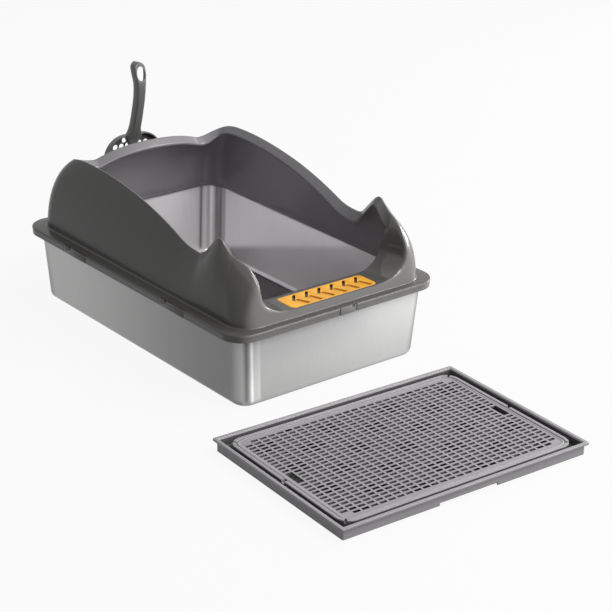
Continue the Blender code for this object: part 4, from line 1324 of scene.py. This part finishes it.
def seenShare(tree):
    # 1 where the background itself, or its image in metal or plastic, is looked at
    path = Wire(tree).node("ShaderNodeLightPath").socket.node
    seen, glossy, through = (Wire(tree, path.outputs[name]) for name in
                             ("Is Camera Ray", "Is Glossy Ray", "Is Transmission Ray"))
    return seen.atLeast(glossy.atLeast(through))


def makeStudio():
    deselect()
    bpy.ops.mesh.primitive_plane_add(size=2 * studio["floorHalf"], location=(0, 0, -studio["floorDrop"]))
    floor = latest("floor")
    material = bpy.data.materials.new("paleFloor")
    material.use_nodes = True
    tree = material.node_tree
    tree.nodes.clear()
    start = Wire(tree)
    plain = start.node("ShaderNodeBsdfDiffuse", None, {"Color": paint(studio["floorTone"])})
    white = start.node("ShaderNodeEmission", None, {"Color": paint(1.0), "Strength": 1.0})
    shown = start.node("ShaderNodeMixShader", None, {0: seenShare(tree) * studio["whiteShare"],
                                                     1: plain, 2: white})
    output = tree.nodes.new("ShaderNodeOutputMaterial")
    tree.links.new(shown.socket, output.inputs["Surface"])
    dress(floor, material)
    for name, place, size, power, colour in lamps:
        deselect()
        bpy.ops.object.light_add(type="AREA", location=place)
        lamp = latest(name)
        lamp.data.shape = "RECTANGLE"
        lamp.data.size, lamp.data.size_y = size
        lamp.data.energy = power
        lamp.data.color = colour
        aim = Vector(studio["aim"]) - Vector(place)
        lamp.rotation_euler = aim.to_track_quat("-Z", "Y").to_euler()
    world = bpy.data.worlds.new("studioSky")
    world.use_nodes = True
    bpy.context.scene.world = world
    tree = world.node_tree
    sky = tree.nodes["Background"]
    sky.inputs["Color"].default_value = paint(1.0)
    strength = seenShare(tree) * (1.0 - studio["sky"]) + studio["sky"]
    tree.links.new(strength.socket, sky.inputs["Strength"])
    bpy.context.scene.view_settings.view_transform = "Standard"
    print("studio:", len(lamps), "lamps")


makeCamera()
makeStudio()
charcoalTone = (0.050, 0.048, 0.046)
# the lighter tone of front-facing plastic is painted front light
paintedFrontLight = (0.130, 0.128, 0.125)
charcoal = mouldedPlastic("charcoalPlastic", charcoalTone, 0.36, facing=paintedFrontLight)
clipPlastic = mouldedPlastic("clipPlastic", (0.052, 0.050, 0.048), 0.36, facing=paintedFrontLight)
scoopPlastic = mouldedPlastic("scoopPlastic", (0.092, 0.090, 0.089), 0.36)
holderPlastic = mouldedPlastic("holderPlastic", (0.084, 0.082, 0.080), 0.42)
greyTray = mouldedPlastic("greyTrayPlastic", (0.180, 0.172, 0.182), 0.42)
greyGrate = gratePlastic("greyGratePlastic", (0.168, 0.160, 0.170))
amber = treadPlastic("amberPlastic", (0.53, 0.254, 0.023))
makePan()
# the inside's plastic is a lighter copy of the charcoal: painted light
makeShield(charcoal, mouldedPlastic("innerCharcoalPaintedLight", (0.178, 0.170, 0.181), 0.42),
           # the crest band is lighter than the outside: painted light, plain at the front
           mouldedPlastic("bandCharcoalPaintedLight", (0.115, 0.111, 0.116), 0.38, atFront=charcoalTone),
           mouldedPlastic("edgeCharcoal", charcoalTone, 0.30, facing=paintedFrontLight, coat=0.8))
for name in clipNames:
    makeClip(name, clipPlastic)
makeTread(amber)
makeScoop(scoopPlastic)
makeHolder(holderPlastic)
makeTrayBase(greyTray)
makeGrate(greyGrate)
